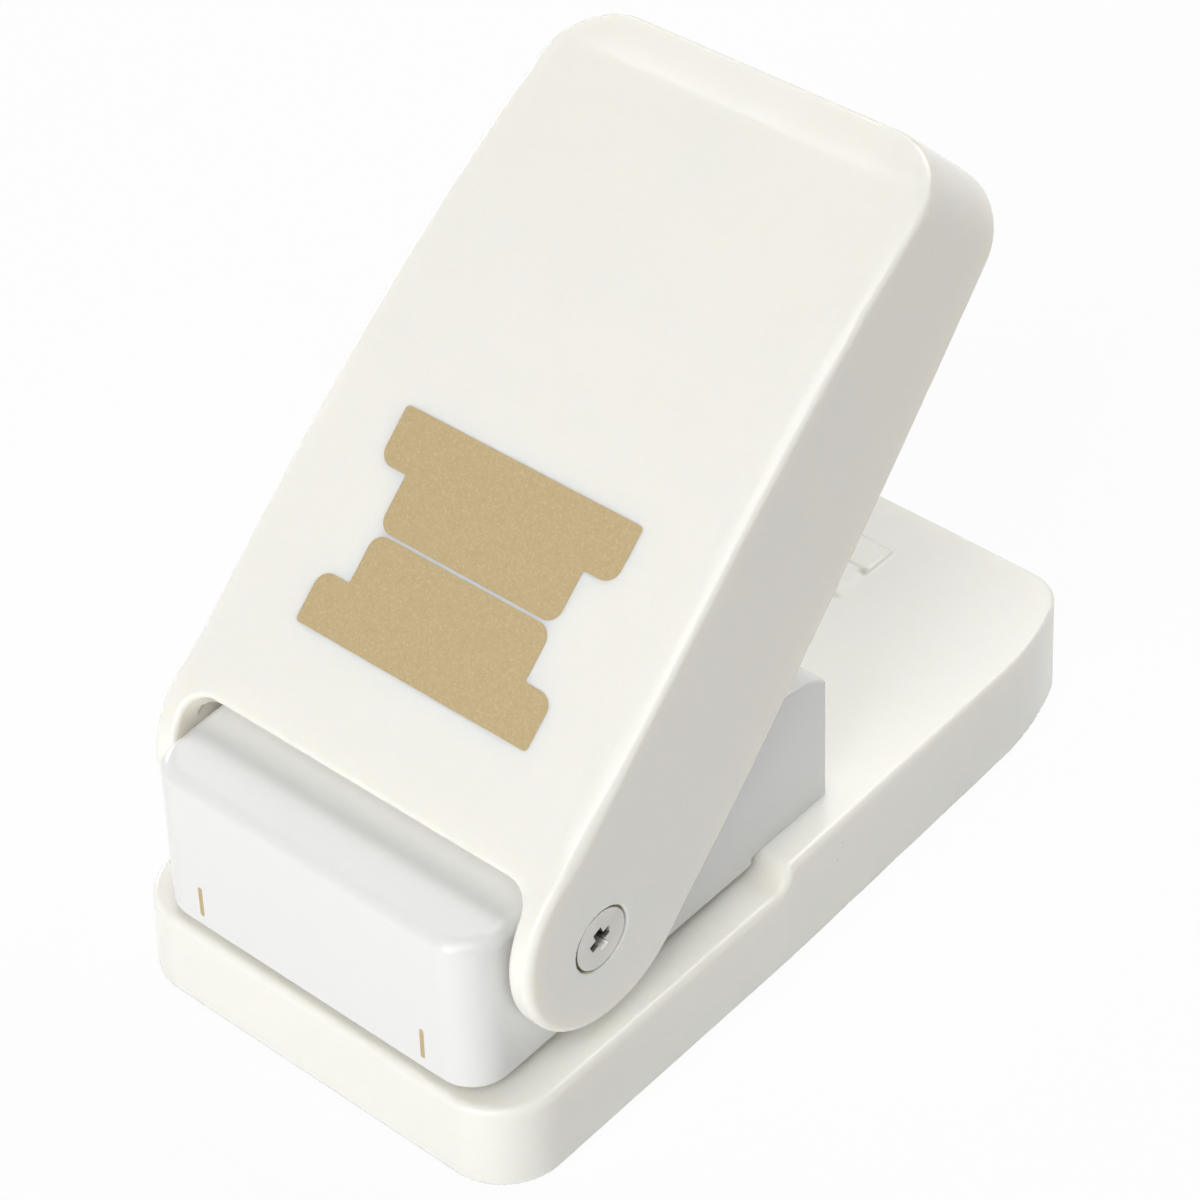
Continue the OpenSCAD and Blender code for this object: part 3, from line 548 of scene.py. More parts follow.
def moulded(name, field, lines, material, place=np.eye(4)):
    """A closed mesh of a field's surface, its normals taken from the field so that curves shade smoothly."""
    xs, ys, zs = lines
    shape = tuple(len(line) for line in lines)
    value = np.broadcast_to(field(xs[:, None, None], ys[None, :, None], zs[None, None, :]), shape)
    solid = value < 0
    count = np.zeros([n - 1 for n in shape], np.int8)
    for i, j, k in product((0, 1), repeat=3):
        count += solid[i:shape[0] - 1 + i, j:shape[1] - 1 + j, k:shape[2] - 1 + k]
    cells = np.argwhere((count > 0) & (count < 8))
    number = np.full(count.shape, -1)
    number[tuple(cells.T)] = np.arange(len(cells))
    points = crossing_points(value, lines, cells)
    for _ in range(SETTLE_STEPS):
        normal = slope(field, points)
        steep = np.maximum((normal ** 2).sum(1), LEAST_SLOPE)
        move = np.clip(field(*points.T) / steep, -SETTLE_MOVE, SETTLE_MOVE)
        points = points - move[:, None] * normal
    normal = slope(field, points)
    normal /= np.maximum(np.linalg.norm(normal, axis=1), 1e-9)[:, None]
    quads = surface_quads(solid, number)
    points = points @ place[:3, :3].T + place[:3, 3]
    normal = normal @ place[:3, :3].T
    mesh = bpy.data.meshes.new(name)
    mesh.from_pydata((points * MM).tolist(), [], quads.tolist())
    mesh.polygons.foreach_set("use_smooth", np.ones(len(quads), bool))
    mesh.normals_split_custom_set_from_vertices(normal.tolist())
    return finished(name, mesh, material)


def linked(name, data):
    """A new object in the scene."""
    made = bpy.data.objects.new(name, data)
    bpy.context.scene.collection.objects.link(made)
    return made


def finished(name, mesh, material):
    """A mesh as an object at the origin with its material."""
    mesh.materials.clear()
    mesh.materials.append(material)
    return linked(name, mesh)


def turned(angle, origin):
    """Axes turned about X and set at an origin."""
    place = np.eye(4)
    c, s = math.cos(angle), math.sin(angle)
    place[:3, :3] = [[1, 0, 0], [0, c, -s], [0, s, c]]
    place[:3, 3] = origin
    return place


# Prints

def rounded_outline(corners, radii, steps=7):
    """A closed outline with each corner rounded by an arc, convex or concave."""
    points = []
    n = len(corners)
    for i in range(n):
        here = np.array(corners[i], float)
        back = np.array(corners[i - 1], float) - here
        ahead = np.array(corners[(i + 1) % n], float) - here
        back, ahead = back / np.linalg.norm(back), ahead / np.linalg.norm(ahead)
        half = math.acos(float(np.clip(back @ ahead, -1, 1))) / 2
        r = radii[i]
        bisector = (back + ahead) / np.linalg.norm(back + ahead)
        centre = here + bisector * r / math.sin(half)
        start, stop = here + back * r / math.tan(half), here + ahead * r / math.tan(half)
        a0 = math.atan2(*(start - centre)[::-1])
        sweep = (math.atan2(*(stop - centre)[::-1]) - a0 + math.pi) % (2 * math.pi) - math.pi
        for k in range(steps + 1):
            a = a0 + sweep * k / steps
            points.append(centre + r * np.array([math.cos(a), math.sin(a)]))
    return points


def film(name, outlines, low, high, place, material):
    """Thin ink patches: each outline is a closed slab from low to high, square to the outline's plane."""
    points, faces = [], []
    for outline in outlines:
        n, first = len(outline), len(points)
        points += [(p[0], p[1], level) for level in (low, high) for p in outline]
        faces.append([first + i for i in reversed(range(n))])
        faces.append([first + n + i for i in range(n)])
        faces += [[first + i, first + (i + 1) % n, first + n + (i + 1) % n, first + n + i] for i in range(n)]
    points = np.array(points) @ place[:3, :3].T + place[:3, 3]
    mesh = bpy.data.meshes.new(name)
    mesh.from_pydata((points * MM).tolist(), [], faces)
    return finished(name, mesh, material)


PRINT_HALF = 17.6
PRINT_WAIST = 13.35
PRINT_UPPER = (28.5, 35.35, 42.6)
PRINT_LOWER = (28.12, 21.55, 14.88)
PRINT_OUTER_R = 0.55
PRINT_SHOULDER_R = 1.95
PRINT_NOTCH_R = 0.3
PRINT_FOLD_R = 1.9
INK = 0.04


def tab_halves():
    """The cut tab's outline on either side of its fold."""
    halves = []
    radii = [PRINT_FOLD_R, PRINT_NOTCH_R, PRINT_SHOULDER_R, PRINT_OUTER_R]
    for fold, notch, end in (PRINT_UPPER, PRINT_LOWER):
        right = [(PRINT_WAIST, fold), (PRINT_WAIST, notch), (PRINT_HALF, notch), (PRINT_HALF, end)]
        corners = right + [(-x, u) for x, u in reversed(right)]
        outline = rounded_outline(corners, radii + radii[::-1])
        halves.append(outline if end > fold else outline[::-1])
    return halves


TICK_X = 17.54
TICK_Z = (15.07, 19.55)
TICK_W = 0.62
TICK_R = 0.2


def tick_outlines():
    """Two upright marks that show how wide the tab is cut, in the plane of the block's front."""
    low, high = (z - slot_z for z in TICK_Z)
    marks = []
    for side in (-1, 1):
        left, right = side * TICK_X - TICK_W / 2, side * TICK_X + TICK_W / 2
        corners = [(left, low), (right, low), (right, high), (left, high)]
        marks.append(rounded_outline(corners, [TICK_R] * 4, steps=4))
    return marks


# Repeating pieces made with Geometry Nodes

def add_node(tree, kind, values=None, **settings):
    """A node with its settings and the values of its named or numbered sockets."""
    node = tree.nodes.new(kind)
    for key, value in settings.items():
        setattr(node, key, value)
    for key, value in (values or {}).items():
        socket = node.inputs[key]
        if isinstance(value, bpy.types.NodeSocket):
            tree.links.new(value, socket)
        else:
            socket.default_value = value
    return node


def result_of(tree, kind, values=None, **settings):
    """The first output of a new node."""
    return add_node(tree, kind, values, **settings).outputs[0]


def calc(tree, operation, a, b=0.0, clamp=False):
    """One step of arithmetic on sockets or plain numbers."""
    return result_of(tree, "ShaderNodeMath", {0: a, 1: b}, operation=operation, use_clamp=clamp)


def moved(tree, geometry, **how):
    """Geometry moved, turned or scaled."""
    return result_of(tree, "GeometryNodeTransform", {"Geometry": geometry, **how})


COLOUR = "NodeSocketColor"
VALUE = "NodeSocketFloat"
SHAPE = "NodeSocketGeometry"
CREASE = math.radians(32)


def new_tree(name, kind, inputs, outputs):
    """A node group with named sockets, and the sockets seen from inside."""
    tree = bpy.data.node_groups.new(name, kind)
    for way, sockets in (("INPUT", inputs), ("OUTPUT", outputs)):
        for label, socket in sockets:
            tree.interface.new_socket(label, in_out=way, socket_type=socket)
    return tree, tree.nodes.new("NodeGroupInput").outputs, tree.nodes.new("NodeGroupOutput").inputs


def shape_tree(name, sizes):
    """A geometry tree that takes places, the named sizes and a finish."""
    inputs = [("Geometry", SHAPE), *((label, VALUE) for label in sizes), ("Finish", "NodeSocketMaterial")]
    return new_tree(name, "GeometryNodeTree", inputs, [("Geometry", SHAPE)])


def end_tree(tree, given, out, geometry):
    """Sets the copies out on the places, makes them one mesh, smooths gentle edges and sets the finish."""
    facing = result_of(tree, "GeometryNodeInputNamedAttribute", {"Name": "facing"}, data_type="FLOAT_VECTOR")
    turn = result_of(tree, "FunctionNodeEulerToRotation", {0: facing})
    copies = result_of(tree, "GeometryNodeInstanceOnPoints",
                       {"Points": given["Geometry"], "Instance": geometry, "Rotation": turn})
    whole = result_of(tree, "GeometryNodeRealizeInstances", {"Geometry": copies})
    angle = result_of(tree, "GeometryNodeInputMeshEdgeAngle")
    sharp = result_of(tree, "FunctionNodeCompare", {0: angle, 1: CREASE}, operation="GREATER_THAN")
    smooth = result_of(tree, "GeometryNodeSetShadeSmooth", {"Geometry": whole, "Shade Smooth": True})
    crisp = result_of(tree, "GeometryNodeSetShadeSmooth",
                      {"Geometry": smooth, "Selection": sharp, "Shade Smooth": False}, domain="EDGE")
    dressed = result_of(tree, "GeometryNodeSetMaterial", {"Geometry": crisp, "Material": given["Finish"]})
    tree.links.new(dressed, out[0])
    return tree


HEAD_SIDES = 64
SHANK_SIDES = 40
TIP_SUNK = 0.5
PEG_TAPER = 0.55
PEG_PROUD = 0.02
COIL_STEPS = 28
WIRE_SIDES = 10


def standing_rod(tree, radius, start, length):
    """A round rod along local Z."""
    made = result_of(tree, "GeometryNodeMeshCylinder",
                     {"Vertices": SHANK_SIDES, "Radius": radius, "Depth": length})
    middle = calc(tree, "ADD", start, calc(tree, "MULTIPLY", length, 0.5))
    return moved(tree, made, Translation=result_of(tree, "ShaderNodeCombineXYZ", {"Z": middle}))


def screw_tree():
    """A screw with a cross recess: its head's face lies at the place, and its shank runs along local Z."""
    tree, given, out = shape_tree("cross recess screw", [
        "Head Radius", "Neck Radius", "Head Height", "Shank Radius", "Shank Length",
        "Tip Radius", "Tip Length", "Recess Span", "Recess Width", "Recess Depth"])
    head = result_of(tree, "GeometryNodeMeshCone",
                     {"Vertices": HEAD_SIDES, "Radius Bottom": given["Head Radius"],
                      "Radius Top": given["Neck Radius"], "Depth": given["Head Height"]})
    # The shank starts inside the head and the tip inside the shank, so that they join without a shared face
    half_head = calc(tree, "MULTIPLY", given["Head Height"], 0.5)
    shank_reach = calc(tree, "ADD", given["Shank Length"], half_head)
    shank = standing_rod(tree, given["Shank Radius"], half_head, shank_reach)
    shank_end = calc(tree, "ADD", given["Head Height"], given["Shank Length"])
    tip_start = calc(tree, "SUBTRACT", shank_end, TIP_SUNK * MM)
    tip_reach = calc(tree, "ADD", given["Tip Length"], TIP_SUNK * MM)
    tip = standing_rod(tree, given["Tip Radius"], tip_start, tip_reach)
    blank = add_node(tree, "GeometryNodeMeshBoolean", operation="UNION", solver="EXACT")
    for solid in (head, shank, tip):
        tree.links.new(solid, blank.inputs["Mesh 2"])
    # A square peg that narrows downwards, flattened to one arm of the recess
    square = math.sqrt(0.5)
    peg = result_of(tree, "GeometryNodeMeshCone",
                    {"Vertices": 4, "Radius Bottom": square, "Radius Top": PEG_TAPER * square,
                     "Depth": given["Recess Depth"]})
    squared = moved(tree, peg, Rotation=(0, 0, math.pi / 4))
    arm_size = result_of(tree, "ShaderNodeCombineXYZ",
                         {"X": given["Recess Span"], "Y": given["Recess Width"], "Z": 1.0})
    arm = moved(tree, squared, Translation=(0, 0, -PEG_PROUD * MM), Scale=arm_size)
    other_arm = moved(tree, arm, Rotation=(0, 0, math.pi / 2))
    screw = add_node(tree, "GeometryNodeMeshBoolean", {"Mesh 1": blank.outputs[0]},
                     operation="DIFFERENCE", solver="EXACT")
    for solid in (arm, other_arm):
        tree.links.new(solid, screw.inputs["Mesh 2"])
    return end_tree(tree, given, out, screw.outputs[0])


def spring_tree():
    """A compression spring of round wire, its first and last turns laid close and its middle turns open."""
    tree, given, out = shape_tree("compression spring", [
        "Coil Radius", "Wire Radius", "Turns", "Free Length", "Flat Ends"])
    coil = result_of(tree, "GeometryNodeCurveSpiral",
                     {"Resolution": COIL_STEPS, "Rotations": given["Turns"], "Height": 0.0,
                      "Start Radius": given["Coil Radius"], "End Radius": given["Coil Radius"]})
    along = add_node(tree, "GeometryNodeSplineParameter").outputs["Factor"]
    eased = result_of(tree, "ShaderNodeMapRange", {"Value": along}, interpolation_type="SMOOTHSTEP")
    share = result_of(tree, "ShaderNodeMix", {0: given["Flat Ends"], 2: along, 3: eased})
    height = calc(tree, "MULTIPLY", share, given["Free Length"])
    lift = result_of(tree, "ShaderNodeCombineXYZ", {"Z": height})
    risen = result_of(tree, "GeometryNodeSetPosition", {"Geometry": coil, "Offset": lift})
    wire = result_of(tree, "GeometryNodeCurvePrimitiveCircle",
                     {"Resolution": WIRE_SIDES, "Radius": given["Wire Radius"]})
    tube = result_of(tree, "GeometryNodeCurveToMesh",
                     {"Curve": risen, "Profile Curve": wire, "Fill Caps": True})
    return end_tree(tree, given, out, tube)


def set_out(name, tree, places, inputs, material, bevel=0.0):
    """Runs a tree on a list of (place in mm, turn) pairs and returns one plain mesh object."""
    seats = bpy.data.meshes.new(name + "_places")
    seats.from_pydata([[c * MM for c in place] for place, _ in places], [], [])
    facing = seats.attributes.new("facing", "FLOAT_VECTOR", "POINT")
    facing.data.foreach_set("vector", [angle for _, turn in places for angle in turn])
    worker = linked(name + "_worker", seats)
    modifier = worker.modifiers.new("make", "NODES")
    modifier.node_group = tree
    given = {**inputs, "Finish": material}
    for item in tree.interface.items_tree:
        if item.in_out == "INPUT" and item.name in given:
            modifier[item.identifier] = given[item.name]
    if bevel:
        rounding = worker.modifiers.new("round", "BEVEL")
        rounding.width = bevel * MM
        rounding.segments = 2
        rounding.limit_method = "ANGLE"
        rounding.angle_limit = CREASE
        rounding.harden_normals = True
    shaped = worker.evaluated_get(bpy.context.evaluated_depsgraph_get())
    mesh = bpy.data.meshes.new_from_object(shaped)
    mesh.name = name
    bpy.data.objects.remove(worker)
    return finished(name, mesh, material)


def metres(**sizes):
    """Tree inputs from sizes in millimetres, with their names spelt as the tree spells them."""
    return {key.replace("_", " ").title(): value * MM for key, value in sizes.items()}


# Materials

def object_point(tree):
    return tree.nodes.new("ShaderNodeTexCoord").outputs["Object"]


def new_group(name, inputs):
    """A shader group that puts out a finish: its colour, roughness and height."""
    finish = [("Colour", COLOUR), ("Roughness", VALUE), ("Height", VALUE)]
    return new_tree(name, "ShaderNodeTree", inputs, finish)


def noise(tree, point, scale, detail=2.0):
    """Cloudy noise, with its scale in waves per metre."""
    node = add_node(tree, "ShaderNodeTexNoise", {"Vector": point, "Scale": scale, "Detail": detail})
    return node.outputs["Fac"]


def remap(tree, value, low, high, to_low=0.0, to_high=1.0):
    """A value between low and high, scaled to lie between two others."""
    return result_of(tree, "ShaderNodeMapRange", {"Value": value, "From Min": low, "From Max": high,
                                                  "To Min": to_low, "To Max": to_high})


def mixed(tree, share, a, b):
    """Colour a with a share of colour b."""
    return add_node(tree, "ShaderNodeMix", {0: share, 6: a, 7: b}, data_type="RGBA").outputs[2]


def moulding_group():
    """Moulded plastic: faint cloudy tone, scarce dust flecks, a slightly uneven gloss and a fine skin."""
    group, given, out = new_group("moulded plastic skin", [
        ("Colour", COLOUR), ("Shade Colour", COLOUR), ("Fleck Colour", COLOUR),
        ("Gloss", VALUE), ("Gloss Spread", VALUE)])
    point = object_point(group)
    cloud = calc(group, "ADD", noise(group, point, 9.0, 0.0), noise(group, point, 1600.0, 1.0))
    toned = mixed(group, remap(group, cloud, 0.5, 1.5), given["Colour"], given["Shade Colour"])
    cells = add_node(group, "ShaderNodeTexVoronoi", {"Vector": point, "Scale": 190.0, "Randomness": 1.0})
    speck = remap(group, cells.outputs["Distance"], 0.035, 0.02)
    rare = remap(group, noise(group, point, 61.0), 0.66, 0.72, 0.0, 0.5)
    fleck = calc(group, "MULTIPLY", speck, rare, clamp=True)
    group.links.new(mixed(group, fleck, toned, given["Fleck Colour"]), out["Colour"])
    uneven = calc(group, "ADD", noise(group, point, 120.0, 4.0), -0.5)
    spread = calc(group, "MULTIPLY", uneven, given["Gloss Spread"])
    group.links.new(calc(group, "ADD", given["Gloss"], spread, clamp=True), out["Roughness"])
    group.links.new(noise(group, point, 900.0, 2.0), out["Height"])
    return group


def metal_group():
    """Ground or drawn metal: fine streaks along one way, with uneven sheen and a faint dull film."""
    group, given, out = new_group("worked metal", [
        ("Colour", COLOUR), ("Film Colour", COLOUR), ("Gloss", VALUE), ("Streaks", "NodeSocketVector")])
    point = object_point(group)
    drawn = result_of(group, "ShaderNodeVectorMath", {0: point, 1: given["Streaks"]}, operation="MULTIPLY")
    streak = noise(group, drawn, 1.0, 4.0)
    film_share = remap(group, noise(group, point, 160.0, 3.0), 0.4, 0.75, 0.0, 0.6)
    group.links.new(mixed(group, film_share, given["Colour"], given["Film Colour"]), out["Colour"])
    sheen = remap(group, streak, 0.3, 0.7, -0.07, 0.09)
    group.links.new(calc(group, "ADD", sheen, given["Gloss"], clamp=True), out["Roughness"])
    group.links.new(streak, out["Height"])
    return group


def surface(name, **fixed):
    """A material with one Principled shader and its fixed values."""
    material = bpy.data.materials.new(name)
    material.use_nodes = True
    shader = material.node_tree.nodes["Principled BSDF"]
    for key, value in fixed.items():
        shader.inputs[key.replace("_", " ")].default_value = value
    return material, material.node_tree


def dress(material, bump, depth, colour, roughness, height):
    """Links a finish to a material's shader, its height as a bump."""
    tree = material.node_tree
    relief = result_of(tree, "ShaderNodeBump", {"Strength": bump, "Distance": depth * MM, "Height": height})
    ends = tree.nodes["Principled BSDF"].inputs
    for label, socket in (("Base Color", colour), ("Roughness", roughness), ("Normal", relief)):
        tree.links.new(socket, ends[label])
    return material


def tone(*levels):
    """sRGB levels, 0 to 255, as the linear colour that a shader takes."""
    linear = [c / 255 / 12.92 if c <= 10 else ((c / 255 + 0.055) / 1.055) ** 2.4 for c in levels]
    return (*linear, 1.0)


skin = moulding_group()
worked = metal_group()
FLECK = tone(176, 168, 150)


def plastic(name, colour, shade, gloss, spread=0.1, bump=0.06, **fixed):
    material, tree = surface(name, **fixed)
    values = {"Colour": colour, "Shade Colour": shade, "Fleck Colour": FLECK,
              "Gloss": gloss, "Gloss Spread": spread}
    finish = add_node(tree, "ShaderNodeGroup", values, node_tree=skin)
    return dress(material, bump, 0.03, *finish.outputs)


def metal(name, colour, film_colour, gloss, streaks, bump=0.08):
    material, tree = surface(name, Metallic=1.0)
    values = {"Colour": colour, "Film Colour": film_colour, "Gloss": gloss, "Streaks": streaks}
    finish = add_node(tree, "ShaderNodeGroup", values, node_tree=worked)
    return dress(material, bump, 0.02, *finish.outputs)


def nickel(name):
    return metal(name, tone(198, 197, 192), tone(180, 178, 172), 0.3, (700.0, 700.0, 700.0), 0.05)


def painted_recess_shade(material, face, depth):
    """Paints shade into what lies deeper than a pivot screw's face, measured across the part: painted shade for
    the recess's dim hollow.
    """
    tree = material.node_tree
    shader = tree.nodes["Principled BSDF"]
    plain = shader.inputs["Base Color"].links[0].from_socket
    across = add_node(tree, "ShaderNodeSeparateXYZ", {"Vector": object_point(tree)}).outputs["X"]
    out = calc(tree, "ABSOLUTE", across)
    share = remap(tree, out, (face - depth[0]) * MM, (face - depth[1]) * MM, 0.0, 0.75)
    # painted shade: the recess's inner faces are mixed towards a dark grey that stands in for its shadow
    tree.links.new(mixed(tree, share, plain, tone(74, 72, 68)), shader.inputs["Base Color"])
    return material


def gold_ink():
    """Matt gold ink with a fine sparkle of pigment."""
    material, tree = surface("matt_gold_ink", Specular_IOR_Level=0.35)
    point = object_point(tree)
    grain = noise(tree, point, 3200.0)
    patches = remap(tree, noise(tree, point, 1300.0), 0.3, 0.7)
    base = mixed(tree, patches, tone(197, 176, 134), tone(192, 170, 127))
    sparkle = remap(tree, grain, 0.5, 0.75, 0.0, 0.6)
    colour = mixed(tree, sparkle, base, tone(214, 195, 153))
    return dress(material, 0.35, 0.02, colour, remap(tree, grain, 0.3, 0.7, 0.62, 0.46), grain)


def rubber():
    """Matt dark rubber with a fine grain."""
    material, tree = surface("foot_rubber", Specular_IOR_Level=0.3)
    point = object_point(tree)
    grain = noise(tree, point, 1500.0, 3.0)
    worn = remap(tree, noise(tree, point, 90.0), 0.35, 0.7)
    colour = mixed(tree, worn, tone(62, 62, 62), tone(74, 73, 71))
    return dress(material, 0.3, 0.05, colour, remap(tree, grain, 0.3, 0.7, 0.7, 0.9), grain)


ivory = plastic("ivory_moulding", tone(246, 245, 238), tone(244, 243, 235), 0.18,
                Subsurface_Weight=0.6, Subsurface_Radius=(1.0, 0.75, 0.4), Subsurface_Scale=0.004)
ivory.node_tree.nodes["Principled BSDF"].subsurface_method = "BURLEY"
white = plastic("white_moulding", tone(237, 237, 236), tone(235, 235, 233), 0.22)
cover_finish = plastic("matt_cover_moulding", tone(228, 224, 212), tone(222, 218, 206), 0.55, 0.2, 0.25)
gold = gold_ink()
foot_finish = rubber()
ACROSS = (90.0, 2600.0, 2600.0)
UPRIGHT = (2200.0, 2200.0, 120.0)
tool_steel = metal("ground_tool_steel", tone(196, 198, 201), tone(172, 173, 175), 0.3, ACROSS)
sheet_steel = metal("zinc_plated_sheet", tone(205, 207, 210), tone(178, 182, 184), 0.36, ACROSS)
screw_steel = nickel("nickel_plated_screw")
spring_steel = metal("drawn_spring_wire", tone(168, 168, 170), tone(140, 140, 142), 0.28, UPRIGHT)
brass = metal("turned_brass", tone(205, 170, 92), tone(178, 142, 70), 0.28, (2000.0, 60.0, 60.0))


# The pieces

def put(piece, body, nodes=()):
    """A piece rides on its body and stands for the CAD nodes it replaces, which are hidden."""
    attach(piece, body)
    if nodes:
        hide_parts(*nodes)
    return piece


# Grids, with each spacing as (coarse, fine): lines stand closer together at the tight edges
GRID_PAST = 0.6
BASE_GRID = (0.85, 0.28)
BASE_GRID_Z = (0.75, 0.26)
BLOCK_GRID = (0.7, 0.26)
LEVER_GRID_X = (0.8, 0.28)
LEVER_GRID_U = (0.7, 0.28)
LEVER_GRID_V = (0.7, 0.26)

base_lines = (
    mirrored(half_w + GRID_PAST, BASE_GRID, [half_w - k for k in (0.4, 3.0, 5.4)]),
    rulings(front_y - GRID_PAST, rear_y + GRID_PAST, BASE_GRID, [front_y + 0.4, stop_y, rear_y - 0.4]),
    rulings(rim_z - GRID_PAST, base_high[2] + GRID_PAST, BASE_GRID_Z,
            [rim_z, platform_z - 0.3, deck_z, base_high[2]], 0.6),
)
put(moulded("base_moulding", base_field, base_lines, ivory), "frame", ["base_shell"])

block_lines = (
    mirrored(block_half + GRID_PAST, BLOCK_GRID, [block_half - 0.5]),
    rulings(block_y0 - GRID_PAST, block_y1 + GRID_PAST, BLOCK_GRID, [block_y0 + 0.8, block_y1]),
    rulings(slot_z - GRID_PAST, block_top + GRID_PAST, BLOCK_GRID, [slot_z + 0.4, block_top - 0.8]),
)
put(moulded("block_moulding", block_field, block_lines, white), "frame", ["housing"])

lever_axes = turned(LEVER_OPEN, pivot)
ear_front = EAR_U - EAR_R
lever_lines = (
    mirrored(lever_half + GRID_PAST, LEVER_GRID_X, [lever_half - 0.4]),
    rulings(ear_front - GRID_PAST, REACH + 2.0, LEVER_GRID_U,
            [PLATE_FRONT, ear_front, REACH, REACH + 1.0], 1.5),
    rulings(ear_low - GRID_PAST, PLATE_TOP + GRID_PAST, LEVER_GRID_V,
            [ear_low, -TAIL_DROP, PLATE_TOP - 0.6]),
)
lever = moulded("lever_moulding", lever_field, lever_lines, ivory, lever_axes)
put(lever, "lever", ["lever_shell"])

tab_print = film("tab_outline_print", tab_halves(), PLATE_TOP - INK, PLATE_TOP + INK, lever_axes, gold)
put(tab_print, "lever")
front_axes = turned(math.pi / 2 - math.atan(BLOCK_DRAFT), (0, block_y0, slot_z))
tick_print = film("tick_mark_print", tick_outlines(), -INK, INK, front_axes, gold)
put(tick_print, "frame")

screw = screw_tree()
spring = spring_tree()


SCREW_POINT = 0.5
SCREW_BEVEL = 0.1
POINT_SHARE = 0.8
RECESS_DEEPEST = 1.1
RECESS_SHARE = 0.75
HEAD_R = 2.85
FLAT_HEAD = (HEAD_R, SCREW_R, HEAD_R - SCREW_R)
PAN_HEAD = (HEAD_R, HEAD_R, 1.8)
LOW_HEAD = (HEAD_R, HEAD_R, 0.9)
SHEET_T = 1.4
SKIN_LEFT = 0.9
PUNCH_SCREW = (10.6, 10.395)
PIVOT_HEAD = (4.0, 4.0, 1.5)
PIVOT_SHOULDER_R = 2.6
PIVOT_THREAD_R = 2.0
PIVOT_SPIN = math.radians(20)
PIVOT_RECESS = (3.5, 2.1)
RECESS_ARM = 0.38
# Depths below the screw's face over which the recess's painted shade deepens
RECESS_PAINTED_SHADE = (0.12, 0.8)


def turn_along(direction, spin=0.0):
    """Turn that lays a screw's shank along a direction, with its recess spun about it."""
    lie = Vector(direction).to_track_quat("Z", "Y")
    return tuple((lie @ Quaternion((0, 0, 1), spin)).to_euler())


UP = turn_along((0, 0, 1))
DOWN = turn_along((0, 0, -1))


def screws(node, body, places, head, shank=None, tip=None, recess=None, material=screw_steel):
    """Screws for a CAD node: head is (radius, neck radius, height), shank and tip (radius, length)."""
    shank = shank or upright_shank(node, head)
    tip = tip or (shank[0] * POINT_SHARE, SCREW_POINT)
    span, depth = recess or (head[0], min(RECESS_DEEPEST, head[2] * RECESS_SHARE))
    sizes = metres(head_radius=head[0], neck_radius=head[1], head_height=head[2], shank_radius=shank[0],
                   shank_length=shank[1], tip_radius=tip[0], tip_length=tip[1],
                   recess_span=span, recess_width=span * RECESS_ARM, recess_depth=depth)
    made = set_out(node + "_made", screw, places, sizes, material, SCREW_BEVEL)
    return put(made, body, [node])


def upright_shank(node, head):
    """Shank of a screw that stands upright: its node's height less the head and the point."""
    low, high = box_mm(node)
    return SCREW_R, high[2] - low[2] - head[2] - SCREW_POINT


sides = (-1, 1)
cover_places = [((s * x, y, cover_low[2]), UP) for x, y in cover_screws_at for s in sides]
screws("cover_screws", "frame", cover_places, FLAT_HEAD)

frame_x = sorted(s * x for s in sides for x in frame_screws_x)
frame_places = [((x, FRAME_SCREW_Y, skin_z - PAN_HEAD[2]), UP) for x in frame_x]
screws("frame_screws", "frame", frame_places, PAN_HEAD)

plate_places = [((s * PLATE_SCREW[0], PLATE_SCREW[1], slot_z), UP) for s in sides]
screws("plate_screws", "frame", plate_places, FLAT_HEAD)

punch_top = box_mm("punch_screws")[1][2]
punch_x, punch_y = PUNCH_SCREW
punch_places = [((s * punch_x, tab_y + t * punch_y, punch_top), DOWN) for s in sides for t in sides]
screws("punch_screws", "punch", punch_places, FLAT_HEAD)

along_v = turn_along(lever_axes[:3, 2])
bracket_v = PLATE_TOP - PLATE_T - SHEET_T - LOW_HEAD[2]
bracket_places = [(lever_axes[:3, :3] @ (s * BRACKET_X, u, bracket_v) + pivot, along_v)
                  for s in sides for u in BRACKET_U]
bracket_shank = (SCREW_R, SHEET_T + PLATE_T - SKIN_LEFT - SCREW_POINT)
screws("bracket_screws", "lever", bracket_places, LOW_HEAD, bracket_shank)

pivot_face = box_mm("pivot_screws")[1][0]
pivot_places = [((s * pivot_face, pivot[1], pivot[2]), turn_along((-s, 0, 0), -s * PIVOT_SPIN))
                for s in sides]
shoulder_l = pivot_face - PIVOT_HEAD[2] - block_half
# the pivot screws' recesses carry painted shade
pivot_steel = painted_recess_shade(nickel("nickel_plated_pivot_screw"), pivot_face, RECESS_PAINTED_SHADE)
screws("pivot_screws", "frame", pivot_places, PIVOT_HEAD, (PIVOT_SHOULDER_R, shoulder_l),
       (PIVOT_THREAD_R, PIVOT_THREAD_L), PIVOT_RECESS, pivot_steel)

WIRE_R = 0.35
SPRING_TURNS = 7
SPRING_FLAT = 0.8
PIN_R = 2.0
pin_x = (pin_high[0] - pin_low[0]) / 2 - PIN_R
spring_r = (spring_high[0] - spring_low[0]) / 2 - pin_x
spring_places = [((s * pin_x, y, spring_low[2] + WIRE_R), UP)
                 for s in sides for y in (spring_low[1] + spring_r, spring_high[1] - spring_r)]
spring_sizes = metres(coil_radius=spring_r - WIRE_R, wire_radius=WIRE_R,
                      free_length=spring_high[2] - spring_low[2] - 2 * WIRE_R)
spring_sizes.update({"Turns": float(SPRING_TURNS), "Flat Ends": SPRING_FLAT})
springs = put(set_out("return_springs_made", spring, spring_places, spring_sizes, spring_steel),
              "frame", ["return_springs"])
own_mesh(springs)

